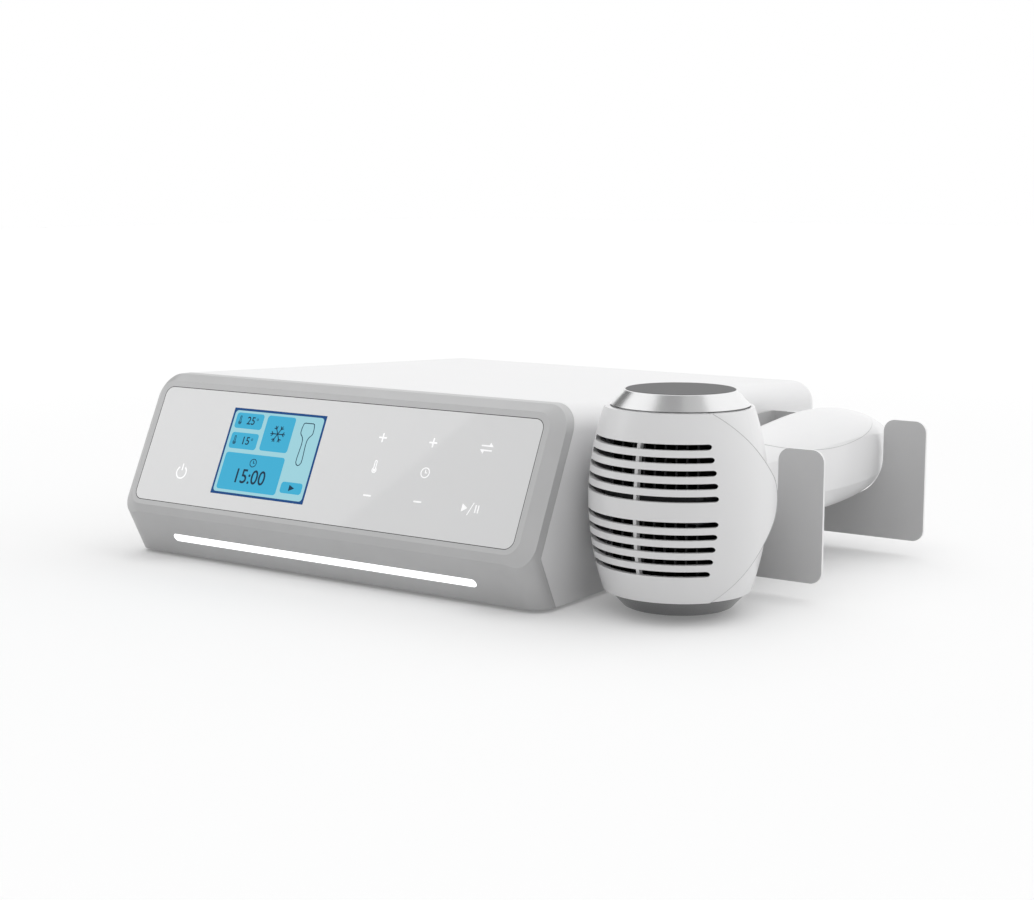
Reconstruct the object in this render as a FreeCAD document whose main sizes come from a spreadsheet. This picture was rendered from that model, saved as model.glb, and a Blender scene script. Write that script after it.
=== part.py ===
import FreeCAD, Part
import math
import os
import re
import Sketcher
from FreeCAD import Matrix, Placement, Rotation, Vector

# A hot and cold therapy machine: a wedge-fronted console with a glass touch panel, a bent
# sheet holder on its right side, and a barrel-headed handpiece that lies in the holder.
# Lengths are millimetres and angles degrees. X runs to the right, Y to the back, Z up.
# While it is drawn, x = 0 is the console's middle, y = 0 its front and z = 0 the table top;
# each placement then moves the whole to an origin at the middle of its footprint.

driving = {
    # console
    "console_width": 302.3,
    "console_height": 108.4,
    "console_depth": 347.5,
    "foot_height": 2.0,
    "roof_fall": 2.7,
    "edge_round": 14.5,
    "shell_wall": 2.5,
    # front frame
    "face_tilt": 25.66,
    "face_low": 33.1,
    "face_top_drop": 3.64,
    "face_side": 7.15,
    "face_round": 9.0,
    "chamfer_depth": 5.36,
    "band_tall": 5.1,
    "chin_tilt": 26.7,
    "chin_round": 11.0,
    "seam_depth": 11.95,
    "seam_open": 0.25,
    "tongue_long": 6.0,
    "tongue_wall": 1.6,
    "tongue_gap": 0.3,
    "tongue_bite": 0.2,
    # touch panel and display
    "glass_side": 4.0,
    "glass_top": 4.1,
    "glass_low": 3.2,
    "glass_round": 5.5,
    "glass_thick": 2.0,
    "glass_gap": 0.4,
    "glass_ledge": 4.0,
    "glass_proud": 0.05,
    "screen_wide": 70.1,
    "screen_tall": 52.6,
    "screen_x": -44.3,
    "screen_low": 13.4,
    "module_border": 3.6,
    "module_thick": 3.4,
    "lcd_thick": 0.8,
    "layer_gap": 0.1,
    "board_thick": 1.6,
    "touch_left": 13.0,
    "touch_margin": 11.0,
    "touch_tall": 56.0,
    "power_key_side": 20.0,
    "power_key_in": 32.3,
    "power_key_up": 22.5,
    "display_board_margin": 15.0,
    "display_board_tall": 60.0,
    # light bar
    "bar_margin": 38.15,
    "bar_tall": 5.5,
    "bar_down": 16.35,
    "bar_gap": 0.1,
    "bar_flange": 1.0,
    "led_side": 3.0,
    "led_count": 12,
    # base
    "base_gap": 1.0,
    "foot_radius": 9.0,
    "foot_in": 30.0,
    "foot_front_y": 48.0,
    "foot_rear_in": 36.0,
    "boss_radius": 4.5,
    "boss_tall": 22.0,
    "boss_bite": 0.6,
    "boss_front_y": 95.0,
    "boss_rear_in": 22.0,
    # holder
    "sheet": 2.0,
    "holder_front": 128.75,
    "holder_span": 145.6,
    "arm_beyond": 52.94,
    "holder_low": 8.6,
    "holder_top": 82.3,
    "holder_round": 7.0,
    "notch_gap": 0.8,
    "notch_round": 25.79,
    "bend_inner": 2.0,
    "wall_gap": 0.2,
    "holder_screw_in": 24.0,
    "holder_screw_up": 14.0,
    "nut_thick": 3.0,
    "nut_margin": 14.0,
    "screw_tail": 3.0,
    # handpiece head
    "head_clear": 4.35,
    "head_y": 65.0,
    "head_z": 61.4,
    "belly_radius": 48.0,
    "rim_radius": 39.9,
    "barrel_half": 48.6,
    "head_wall": 2.4,
    "rear_inset": 1.3,
    "wing_stretch": 1.5,
    "seam_top_y": -24.0,
    "seam_apex_y": 32.2,
    "seam_round": 17.0,
    "seam_gap": 0.6,
    "slot_pitch": 6.5,
    "slot_tall": 3.0,
    "slot_back_y": -28.2,
    "slots_each_side": 5,
    "rib_wide": 1.8,
    "rib_deep": 3.0,
    "cap_step": 3.4,
    "cap_bevel": 8.0,
    "cap_rise": 8.9,
    "cap_skirt": 3.0,
    "cap_gap": 0.25,
    "cap_seat": 0.2,
    "cap_lip": 0.6,
    "cap_edge_wide": 1.0,
    "cap_edge_tall": 0.5,
    "cooler_side": 40.0,
    "cooler_thick": 3.8,
    "stack_gap": 0.02,
    "sink_side": 52.0,
    "sink_base": 3.0,
    "fin_count": 9,
    "fin_thick": 1.2,
    # fans
    "fan_side": 60.0,
    "fan_corner": 4.0,
    "fan_thick": 15.0,
    "fan_rim": 1.5,
    "fan_tip_gap": 0.8,
    "fan_floor": 2.0,
    "fan_hole": 2.15,
    "fan_hole_in": 5.0,
    "spoke_half": 2.0,
    "hub_radius": 12.0,
    "hub_wall": 1.4,
    "hub_gap": 0.5,
    "magnet_thick": 1.4,
    "coil_gap": 0.5,
    "coil_tall": 6.0,
    "coil_slot": 2.0,
    "tube_wall": 1.3,
    "bush_wall": 1.5,
    "shaft_radius": 1.5,
    "shaft_gap": 0.05,
    "blade_count": 7,
    "blade_thick": 1.6,
    # handle
    "handle_start": 36.0,
    "handle_end": 246.0,
    "handle_half_width": 25.0,
    "handle_rise": 29.8,
    "handle_drop": 31.0,
    "rest_gap": 0.7,
    "grip_wall": 2.4,
    "lip_gap": 0.3,
    "lip_wall": 1.3,
    "lip_reach": 6.0,
    "lip_root": 1.5,
    "board_rib": 2.0,
    "leaf_start_y": 48.0,
    "leaf_start_z": 27.5,
    "leaf_low_y": 150.0,
    "leaf_low_z": 11.4,
    "leaf_end_y": 246.0,
    "leaf_end_z": 29.5,
    "leaf_gap": 0.3,
    "gland_radius": 5.5,
    "gland_flange": 1.2,
    "gland_in": 10.0,
    "gland_out": 2.0,
    "cord_bore_radius": 3.2,
    "ring_gap": 0.3,
    "ring_tall": 3.0,
    "grip_board_down": 12.0,
    "grip_board_wide": 24.0,
    "grip_board_long": 78.0,
    # rear panel
    "rear_thick": 2.0,
    "rear_margin": 23.15,
    "rear_low": 11.0,
    "rear_clear": 0.3,
    "rear_gap": 0.2,
    "rear_flange": 3.0,
    "rear_round": 4.0,
    "grille_pitch": 5.6,
    "grille_slot": 3.0,
    "grille_half_count": 4,
    "inlet_in": 33.0,
    "inlet_z": 45.0,
    "inlet_wide": 26.6,
    "inlet_tall": 47.0,
    "inlet_deep": 28.0,
    "inlet_flange_wide": 31.0,
    "inlet_flange_tall": 62.0,
    "inlet_flange_thick": 2.5,
    "inlet_flange_round": 6.0,
    "inlet_screw_up": 27.2,
    "inlet_room": 10.0,
    "rocker_z": 15.5,
    "rocker_wide": 19.6,
    "rocker_radius": 6.2,
    "rocker_in": 2.0,
    "rocker_tilt": 7.0,
    "rocker_crown": 4.6,
    "rocker_dish": 3.0,
    "drawer_z": 3.0,
    "drawer_wide": 23.8,
    "drawer_tall": 6.8,
    "drawer_long": 18.0,
    "drawer_floor": 1.0,
    "drawer_side": 1.5,
    "drawer_end": 2.0,
    "fuse_radius": 2.4,
    "fuse_long": 20.0,
    "socket_z": -12.0,
    "socket_wide": 24.0,
    "socket_tall": 16.5,
    "socket_deep": 17.0,
    "moving_gap": 0.3,
    "console_fan_in": 43.0,
    "console_fan_z": 45.0,
    "connector_x": 25.0,
    "connector_z": 45.0,
    "connector_bore": 6.2,
    "connector_well": 6.0,
    "connector_insert": 5.6,
    "connector_inside": 14.0,
    "connector_insert_deep": 4.0,
    "contact_circle": 3.6,
    "contact_radius": 0.8,
    "contact_long": 3.5,
    "contact_count": 5,
    "connector_nut": 11.0,
    "connector_nut_thick": 2.5,
    "connector_radius": 8.0,
    "connector_proud": 8.0,
    # floor vents
    "vent_x": 80.0,
    "vent_y": 146.0,
    "vent_rows": 9,
    "vent_long": 60.0,
    "vent_wide": 3.0,
    "vent_pitch": 7.0,
    # screws
    "screw_radius": 2.0,
    "screw_clearance": 0.15,
    "head_radius": 3.6,
    "head_tall": 2.2,
    "small_screw": 1.5,
    "small_head": 2.9,
    "small_head_tall": 1.5,
    "small_screw_long": 14.0,
    "thread_gap": 0.05,
    "fan_screw_long": 18.0,
    # inside the console
    "supply_x": 70.0,
    "supply_rear_in": 60.0,
    "supply_wide": 98.0,
    "supply_long": 150.0,
    "supply_tall": 38.0,
    "supply_slot": 70.0,
    "supply_slot_wide": 4.0,
    "supply_slot_deep": 3.0,
    "supply_slot_pitch": 10.0,
    "supply_slots": 12,
    "control_x": -75.0,
    "control_y": 125.0,
    "control_wide": 112.0,
    "control_long": 122.0,
    "post_radius": 3.0,
    "post_tall": 8.0,
    "post_in": 6.0,
    "chip_tall": 6.0,
}

# sizes that follow from the ones above
derived = {
    "bezel_wall": "(shell_wall + tongue_gap + tongue_bite)",
    "face_tall": "((console_height - face_top_drop - face_low)/cos(face_tilt))",
    "face_wide": "(console_width - 2*face_side)",
    "glass_wide": "(face_wide - 2*glass_side)",
    "glass_tall": "(face_tall - glass_low - glass_top)",
    "bar_long": "(console_width - 2*bar_margin)",
    "head_x": "(console_width/2 + head_clear + belly_radius)",
    "holder_reach": "(head_x + arm_beyond)",
    "notch_wide": "(2*(handle_half_width + notch_gap))",
    "cap_radius": "(rim_radius - cap_step)",
    "cap_top_radius": "(cap_radius - cap_bevel)",
    "ring_outer": "(cap_radius - ring_gap)",
    "ring_inner": "(cooler_side/sqrt(2) + ring_gap)",
    "duct_radius": "(fan_side/2 - fan_rim)",
    "bush_radius": "(shaft_radius + shaft_gap + bush_wall)",
    "tube_radius": "(bush_radius + tube_wall)",
    "hub_inside": "(hub_radius - hub_wall)",
    "rear_half_width": "(console_width/2 - rear_margin)",
    "roof_front": "((seam_depth + (console_height - face_low)*sin(face_tilt))/cos(face_tilt))",
    "rear_roof": "(console_height - (console_depth - roof_front)*tan(roof_fall))",
    "rear_top": "(rear_roof - edge_round - rear_flange - rear_clear)",
    "inlet_x": "(rear_half_width - inlet_in)",
    "console_fan_x": "(console_fan_in - rear_half_width)",
}

doc = FreeCAD.newDocument("TherapyMachine")
sheet = doc.addObject("Spreadsheet::Sheet", "Sizes")
for row, (alias, value) in enumerate(driving.items(), start=1):
    sheet.set(f"A{row}", alias)
    sheet.set(f"B{row}", str(value))
    sheet.setAlias(f"B{row}", alias)
doc.recompute()

subParts = []
waiting = {}
words = re.compile(r"\b(" + "|".join(sorted(driving, key=len, reverse=True)) + r")\b")
derivedWords = re.compile(r"\b(" + "|".join(sorted(derived, key=len, reverse=True)) + r")\b")


def bound(text):
    """The expression with each derived size written out and each size name pointed at the sheet."""
    text = str(text)
    while derivedWords.search(text):
        text = derivedWords.sub(lambda found: derived[found.group(1)], text)
    return words.sub(r"Sizes.\1", text)


def size(text):
    """The expression's value now."""
    return float(sheet.evalExpression(bound(text)))


# Lines of the front, seen from the right: a face that leans back above a short upright band,
# over a chin that falls back to the table. Depths are measured square to each plane.
faceFoot = "face_low"
chinHead = "(face_low - band_tall)"
originX = "((holder_reach - console_width/2)/2)"
originY = "((console_depth + connector_proud)/2)"


def faceLine(depth, height):
    """Y of the plane parallel to the face and this deep in it, at this height."""
    return f"((({depth}) + (({height}) - face_low)*sin(face_tilt))/cos(face_tilt))"


def chinLine(depth, height):
    """Y of the plane parallel to the chin and this deep in it, at this height."""
    return f"((({depth}) - (({height}) - {chinHead})*sin(chin_tilt))/cos(chin_tilt))"


def creaseHeight(depth):
    """Height where those two planes meet."""
    slant = f"(({depth})/cos(chin_tilt) - ({depth})/cos(face_tilt))"
    foot = f"({chinHead}*tan(chin_tilt) + face_low*tan(face_tilt))"
    return f"(({slant} + {foot})/(tan(chin_tilt) + tan(face_tilt)))"


def roof(y, inset="0"):
    """Height of the roof, which falls to the back from the seam, less an inset."""
    return f"(console_height - (({y}) - roof_front)*tan(roof_fall) - ({inset}))"


# ---------------------------------------------------------------- drawing helpers


def newBody(label, wanted=True):
    body = doc.addObject("PartDesign::Body", label)
    body.Label = label
    if wanted:
        subParts.append(body)
    return body


def drawOn(body, role, lift="0", tilt=None, rise="0"):
    """A sketch on an origin plane, lifted along its normal, or leant back about its X."""
    plane = next(f for f in body.Origin.OriginFeatures if f.Role == role)
    sketch = body.newObject("Sketcher::SketchObject", body.Label + "_sketch")
    sketch.AttachmentSupport = [(plane, "")]
    sketch.MapMode = "FlatFace"
    if tilt is None:
        sketch.setExpression("AttachmentOffset.Base.z", bound(lift))
        return sketch
    sketch.AttachmentOffset = Placement(Vector(0, 0, 0), Rotation(Vector(1, 0, 0), size(tilt)))
    sketch.setExpression("AttachmentOffset.Rotation.Angle", bound(tilt))
    sketch.setExpression("AttachmentOffset.Base.y", bound(f"({rise}) + ({lift})*-sin({tilt})"))
    sketch.setExpression("AttachmentOffset.Base.z", bound(f"({lift})*cos({tilt})"))
    return sketch


def rule(sketch, constraint, value=None):
    """Notes a constraint, to be added with the sketch's others before it is used."""
    waiting.setdefault(sketch.Name, []).append((constraint, value))


def settle(sketch):
    """Adds a sketch's constraints, then binds its dimensions to the sheet."""
    rules = waiting.pop(sketch.Name, [])
    if not rules:
        return
    sketch.addConstraint([constraint for constraint, value in rules])
    for index, (constraint, value) in enumerate(rules):
        if value is not None:
            sketch.setExpression(f"Constraints[{index}]", bound(value))


def lock(sketch, kind, value, *where):
    """One dimension of a sketch, bound to the sheet."""
    rule(sketch, Sketcher.Constraint(kind, *where, size(value)), value)


def lockPoint(sketch, geometry, end, x, y):
    lock(sketch, "DistanceX", x, -1, 1, geometry, end)
    lock(sketch, "DistanceY", y, -1, 1, geometry, end)


def outline(sketch, points):
    """A closed outline: (x, y) or (x, y, bulge), the bulge being the rise of the arc that
    leads to the next point, positive to the right of the way there."""
    corners = [Vector(size(p[0]), size(p[1]), 0) for p in points]
    first = sketch.GeometryCount
    count = len(points)
    for i, point in enumerate(points):
        here = corners[i]
        there = corners[(i + 1) % count]
        if len(point) == 2:
            sketch.addGeometry(Part.LineSegment(here, there), False)
            continue
        along = (there - here).normalize()
        middle = (here + there) * 0.5 + Vector(along.y, -along.x, 0) * size(point[2])
        sketch.addGeometry(Part.Arc(here, middle, there), False)
    for i in range(count):
        after = (i + 1) % count
        finish = arcEnds(sketch, first + i, corners[i])[1]
        start = arcEnds(sketch, first + after, corners[after])[0]
        rule(sketch, Sketcher.Constraint("Coincident", first + i, finish, first + after, start))
    for i, point in enumerate(points):
        start = arcEnds(sketch, first + i, corners[i])[0]
        lockPoint(sketch, first + i, start, point[0], point[1])
        if len(point) == 3:
            nextPoint = points[(i + 1) % count]
            half = f"((({nextPoint[0]}) - ({point[0]}))^2 + (({nextPoint[1]}) - ({point[1]}))^2)/4"
            rise = f"abs({point[2]})"
            lock(sketch, "Radius", f"(({rise})^2 + {half})/(2*({rise}))", first + i)


def arcEnds(sketch, index, start):
    """Which ends of a piece are its start and end: an arc is kept anticlockwise."""
    if (sketch.getPoint(index, 1) - start).Length < (sketch.getPoint(index, 2) - start).Length:
        return 1, 2
    return 2, 1


def roundBox(sketch, x, y, wide, tall, radius):
    """A rectangle about (x, y) with round corners."""
    cx = size(x)
    cy = size(y)
    hw = size(wide) / 2
    hh = size(tall) / 2
    r = size(radius)
    first = sketch.GeometryCount
    quarter = math.pi / 2
    signs = [(1, 1), (-1, 1), (-1, -1), (1, -1)]
    for i, (sx, sy) in enumerate(signs):
        circle = Part.Circle(Vector(cx + sx * (hw - r), cy + sy * (hh - r), 0), Vector(0, 0, 1), r)
        sketch.addGeometry(Part.ArcOfCircle(circle, i * quarter, (i + 1) * quarter), False)
    for i in range(4):
        start = sketch.getPoint(first + i, 2)
        end = sketch.getPoint(first + (i + 1) % 4, 1)
        sketch.addGeometry(Part.LineSegment(start, end), False)
    for i in range(4):
        rule(sketch, Sketcher.Constraint("Tangent", first + i, 2, first + 4 + i, 1))
        rule(sketch, Sketcher.Constraint("Tangent", first + 4 + i, 2, first + (i + 1) % 4, 1))
    for i, (sx, sy) in enumerate(signs):
        lockPoint(sketch, first + i, 3, f"({x}) + {sx}*(({wide})/2 - ({radius}))",
                  f"({y}) + {sy}*(({tall})/2 - ({radius}))")
        if i:
            rule(sketch, Sketcher.Constraint("Equal", first, first + i))
    lock(sketch, "Radius", radius, first)


def disc(sketch, x, y, radius):
    index = sketch.addGeometry(Part.Circle(Vector(size(x), size(y), 0), Vector(0, 0, 1), size(radius)), False)
    lockPoint(sketch, index, 3, x, y)
    lock(sketch, "Radius", radius, index)


def box(sketch, x, y, wide, tall):
    """A rectangle about (x, y)."""
    left = f"({x}) - ({wide})/2"
    right = f"({x}) + ({wide})/2"
    low = f"({y}) - ({tall})/2"
    top = f"({y}) + ({tall})/2"
    outline(sketch, [(left, low), (right, low), (right, top), (left, top)])


def pad(body, sketch, length, both=False, back=False):
    settle(sketch)
    feature = body.newObject("PartDesign::Pad", body.Label + "_pad")
    feature.Profile = sketch
    feature.setExpression("Length", bound(length))
    feature.SideType = "Symmetric" if both else "One side"
    feature.Reversed = back
    return feature


def pocket(body, sketch, length=None, both=False, back=False):
    """Cuts the sketch into the body, by a length or right through."""
    settle(sketch)
    feature = body.newObject("PartDesign::Pocket", body.Label + "_pocket")
    feature.Profile = sketch
    if length is None:
        feature.Type = "ThroughAll"
    else:
        feature.setExpression("Length", bound(length))
    feature.SideType = "Symmetric" if both else "One side"
    feature.Reversed = back
    return feature


def revolve(body, sketch):
    settle(sketch)
    feature = body.newObject("PartDesign::Revolution", body.Label + "_turned")
    feature.Profile = sketch
    feature.ReferenceAxis = (sketch, ["V_Axis"])
    feature.Angle = 360
    return feature


def roundEdges(body, radius, wanted):
    """Fillets the edges for which wanted(edge) is true."""
    doc.recompute()
    tip = body.Tip
    names = [f"Edge{i}" for i, edge in enumerate(tip.Shape.Edges, start=1) if wanted(edge)]
    feature = body.newObject("PartDesign::Fillet", body.Label + "_round")
    feature.Base = (tip, names)
    feature.setExpression("Radius", bound(radius))
    return feature


def pattern(body, original, role, length, count):
    """Repeats a feature along one of the body's axes."""
    axis = next(f for f in body.Origin.OriginFeatures if f.Role == role)
    feature = body.newObject("PartDesign::LinearPattern", body.Label + "_row")
    feature.Originals = [original]
    feature.Direction = (axis, [""])
    feature.Mode = "Extent"
    feature.setExpression("Length", bound(length))
    feature.Occurrences = count
    body.Tip = feature
    return feature


def combine(body, tools, kind):
    """Cuts, joins or crosses the body with other bodies."""
    feature = body.newObject("PartDesign::Boolean", body.Label + "_" + kind.lower())
    feature.setObjects(tools)
    feature.Type = kind
    return feature


def shapePart(label, shape):
    """A sub-part whose form is worked out by Part's own functions."""
    feature = doc.addObject("Part::Feature", label)
    feature.Label = label
    feature.Shape = shape
    subParts.append(feature)
    return feature


def place(piece, x="0", y="0", z="0", rotation=None):
    """Puts a piece in the whole, whose origin is the middle of its footprint."""
    if rotation:
        piece.Placement = Placement(Vector(0, 0, 0), rotation)
    for axis, value, shift in (("x", x, originX), ("y", y, originY), ("z", z, "0")):
        piece.setExpression(f"Placement.Base.{axis}", bound(f"({value}) - {shift}"))


def ends(edge):
    return edge.Vertexes[0].Point, edge.Vertexes[-1].Point


def near(value, target):
    return abs(value - target) < 0.01


# ---------------------------------------------------------------- console casing


def wedge(label, depth, inset, back):
    """A solid inside the console's outline, seen from the right: set in by inset at its sides,
    roof and floor and by depth at its front, and reaching back to y = back."""
    body = newBody(label, wanted=False)
    side = drawOn(body, "YZ_Plane")
    low = f"foot_height + ({inset})"
    top = f"console_height - ({inset})"
    outline(side, [
        (chinLine(depth, low), low),
        (back, low),
        (back, roof(back, inset)),
        (faceLine(depth, top), top),
        (faceLine(depth, creaseHeight(depth)), creaseHeight(depth)),
    ])
    pad(body, side, f"console_width - 2*({inset})", both=True)
    return body


def sideEdges(width):
    """True for the edges of a wedge at its sides that run along its roof."""
    half = size(width) / 2

    def wanted(edge):
        a, b = ends(edge)
        atSide = near(abs(a.x), half) and near(a.x, b.x)
        return atSide and min(a.z, b.z) > size("console_height*0.7") and abs(a.y - b.y) > 5

    return wanted


def seamSolid(label, depth, radius, inset, reach):
    """Everything of the console behind its front seam, or of its inside."""
    body = wedge(label, depth, inset, reach)
    half = size(f"console_width/2 - ({inset})")
    backY = size(reach)

    def wanted(edge):
        a, b = ends(edge)
        side = near(abs(a.x), half) and near(a.x, b.x)
        top = min(a.z, b.z) > size("console_height*0.7")
        rear = near(a.y, backY) and near(b.y, backY)
        return (side and top and not rear) or (side and rear) or (rear and top)

    roundEdges(body, radius, wanted)
    return body


def makeBezel():
    body = newBody("front_bezel")
    side = drawOn(body, "YZ_Plane")
    floor = "foot_height"
    outline(side, [
        (chinLine("0", floor), floor),
        (chinLine("seam_depth", floor), floor),
        (faceLine("seam_depth", creaseHeight("seam_depth")), creaseHeight("seam_depth")),
        (faceLine("seam_depth", "console_height"), "console_height"),
        (faceLine("0", "console_height"), "console_height"),
        ("0", faceFoot),
        ("0", chinHead),
    ])
    pad(body, side, "console_width", both=True)
    roundEdges(body, "edge_round", sideEdges("console_width"))

    # the block that gives the chin its round corners
    chin = newBody("chin_block", wanted=False)
    chinSide = drawOn(chin, "YZ_Plane")
    tall = "(console_height + 20)"
    outline(chinSide, [
        (chinLine("0", "0"), "0"),
        ("console_depth/2", "0"),
        ("console_depth/2", tall),
        (chinLine("0", tall), tall),
    ])
    pad(chin, chinSide, "console_width", both=True)
    leftAndRight = size("console_width/2")
    roundEdges(chin, "chin_round", lambda e: near(abs(ends(e)[0].x), leftAndRight)
               and near(ends(e)[0].x, ends(e)[1].x)
               and abs(ends(e)[0].z - ends(e)[1].z) > 50
               and min(ends(e)[0].y, ends(e)[1].y) < 20)

    # the frame: a frustum whose four slopes are the chamfer round the face
    frame = newBody("frame_block", wanted=False)
    reach = "(4*seam_depth)"
    sideRun = "((console_width - face_wide)/2/chamfer_depth)"
    topRise = "((console_height - face_low + chamfer_depth*sin(face_tilt))/cos(face_tilt) - face_tall)"
    topRun = f"({topRise}/chamfer_depth)"
    lowRun = "(1/tan(face_tilt))"
    outer = drawOn(frame, "XZ_Plane", tilt="-face_tilt", rise="face_low")
    roundBox(outer, "0", "face_tall/2", "face_wide", "face_tall", "face_round")
    inner = drawOn(frame, "XZ_Plane", lift=f"-{reach}", tilt="-face_tilt", rise="face_low")
    middle = f"face_tall/2 + {reach}*({topRun} - {lowRun})/2"
    roundBox(inner, "0", middle, f"face_wide + 2*{reach}*{sideRun}",
             f"face_tall + {reach}*({topRun} + {lowRun})", f"face_round + {reach}*{sideRun}")
    settle(outer)
    settle(inner)
    loft = frame.newObject("PartDesign::AdditiveLoft", "frame_loft")
    loft.Profile = outer
    loft.Sections = [inner]
    loft.Ruled = True
    combine(body, [chin], "Common")
    combine(body, [frame], "Common")

    # the hollow behind the face, whose corners follow the outside
    hollow = newBody("bezel_hollow", wanted=False)
    hollowSide = drawOn(hollow, "YZ_Plane")
    low = "foot_height + bezel_wall"
    top = "console_height - bezel_wall"
    wall = "(glass_thick + bezel_wall)"
    outline(hollowSide, [
        (chinLine("bezel_wall", low), low),
        ("console_depth/2", low),
        ("console_depth/2", top),
        (faceLine(wall, top), top),
        (faceLine(wall, "face_low"), "face_low"),
        (chinLine("bezel_wall", f"{chinHead} - bezel_wall"), f"{chinHead} - bezel_wall"),
    ])
    pad(hollow, hollowSide, "console_width - 2*bezel_wall", both=True)
    roundEdges(hollow, "edge_round - bezel_wall", sideEdges("console_width - 2*bezel_wall"))
    hollowHalf = size("console_width/2 - bezel_wall")
    roundEdges(hollow, "chin_round - bezel_wall", lambda e: near(abs(ends(e)[0].x), hollowHalf)
               and near(ends(e)[0].x, ends(e)[1].x)
               and max(ends(e)[0].z, ends(e)[1].z) < size(chinHead)
               and abs(ends(e)[0].z - ends(e)[1].z) > 10
               and max(ends(e)[0].y, ends(e)[1].y) < 30)
    combine(body, [hollow], "Cut")

    # seat for the glass, and the window behind it
    seat = drawOn(body, "XZ_Plane", tilt="-face_tilt", rise="face_low")
    panelMiddle = "glass_low + glass_tall/2"
    roundBox(seat, "0", panelMiddle, "glass_wide + 2*glass_gap", "glass_tall + 2*glass_gap",
             "glass_round + glass_gap")
    pocket(body, seat, "glass_thick + layer_gap")
    window = drawOn(body, "XZ_Plane", tilt="-face_tilt", rise="face_low")
    roundBox(window, "0", panelMiddle, "glass_wide - 2*glass_ledge", "glass_tall - 2*glass_ledge",
             "glass_round")
    pocket(body, window, "glass_thick + 3*bezel_wall")

    # the tongue that runs back under the shell
    inset = "(shell_wall + tongue_gap)"
    tongueRound = f"(edge_round - {inset})"
    tongue = seamSolid("tongue", "(seam_depth - tongue_long/2)", tongueRound, inset, "console_depth/2")
    core = seamSolid("tongue_core", "(seam_depth - tongue_long)", f"{tongueRound} - tongue_wall",
                     f"({inset} + tongue_wall)", "(console_depth/2 + 10)")
    behind = wedge("behind_tongue", "(seam_depth + tongue_long)", "0", "(console_depth/2 + 20)")
    combine(tongue, [core], "Cut")
    combine(tongue, [behind], "Cut")
    combine(body, [tongue], "Fuse")

    # slot for the light bar in the chin
    slot = drawOn(body, "XZ_Plane", tilt="chin_tilt", rise=chinHead)
    roundBox(slot, "0", "-bar_down", "bar_long", "bar_tall", "bar_tall/2 - 0.01")
    pocket(body, slot, "3*bezel_wall")
    place(body)


def makeShell():
    body = newBody("body_shell")
    outer = seamSolid("shell_outside", "(seam_depth + seam_open)", "edge_round", "0", "console_depth")
    side = drawOn(body, "YZ_Plane")
    box(side, "console_depth/2", "console_height/2", "2*console_depth", "2*console_height")
    pad(body, side, "2*console_width", both=True)
    combine(body, [outer], "Common")
    inner = newBody("shell_inside", wanted=False)
    innerSide = drawOn(inner, "YZ_Plane")
    reach = "(console_depth - shell_wall)"
    outline(innerSide, [
        ("-50", "-10"),
        (reach, "-10"),
        (reach, roof(reach, "shell_wall")),
        ("-50", roof("-50", "shell_wall")),
    ])
    pad(inner, innerSide, "console_width - 2*shell_wall", both=True)
    half = size("console_width/2 - shell_wall")
    backY = size(reach)

    def wanted(edge):
        a, b = ends(edge)
        side = near(abs(a.x), half) and near(a.x, b.x)
        top = min(a.z, b.z) > size("console_height*0.7")
        rear = near(a.y, backY) and near(b.y, backY)
        front = near(a.y, -50) and near(b.y, -50)
        return (side and top and not rear and not front) or (side and rear) or (rear and top)

    roundEdges(inner, "edge_round - shell_wall", wanted)
    combine(body, [inner], "Cut")

    # the opening that the rear panel closes
    back = drawOn(body, "XZ_Plane", lift="-console_depth - 5")
    roundBox(back, "0", "(rear_low + rear_top)/2", "2*rear_half_width", "rear_top - rear_low", "rear_round")
    pocket(body, back, "shell_wall + 8", back=True)
    # holes for the four screws of the holder
    holes = drawOn(body, "YZ_Plane")
    for y, z in holderScrews():
        disc(holes, y, z, "screw_radius + screw_clearance")
    pocket(body, holes, "console_width", back=True)

    # the bosses on the side walls that take the screws of the base
    bosses = drawOn(body, "XY_Plane", lift="foot_height + shell_wall + stack_gap")
    for x, y in baseScrews():
        disc(bosses, x, y, "boss_radius")
    pad(body, bosses, "boss_tall")
    threads = drawOn(body, "XY_Plane", lift="foot_height")
    for x, y in baseScrews():
        disc(threads, x, y, "small_screw + thread_gap")
    pocket(body, threads, "shell_wall + small_screw_long + 1", back=True)
    place(body)


def holderScrews():
    """Where the holder's screws go, seen from the right."""
    for y in ("holder_front + holder_screw_in", "holder_front + holder_span - holder_screw_in"):
        for z in ("holder_low + holder_screw_up", "holder_top - holder_screw_up"):
            yield y, z


def baseScrews():
    """Where the base is screwed to the shell's bosses."""
    for side in (-1, 1):
        for y in ("boss_front_y", "(console_depth - boss_rear_in)"):
            yield f"{side}*(console_width/2 - shell_wall - boss_radius + boss_bite)", y


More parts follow.
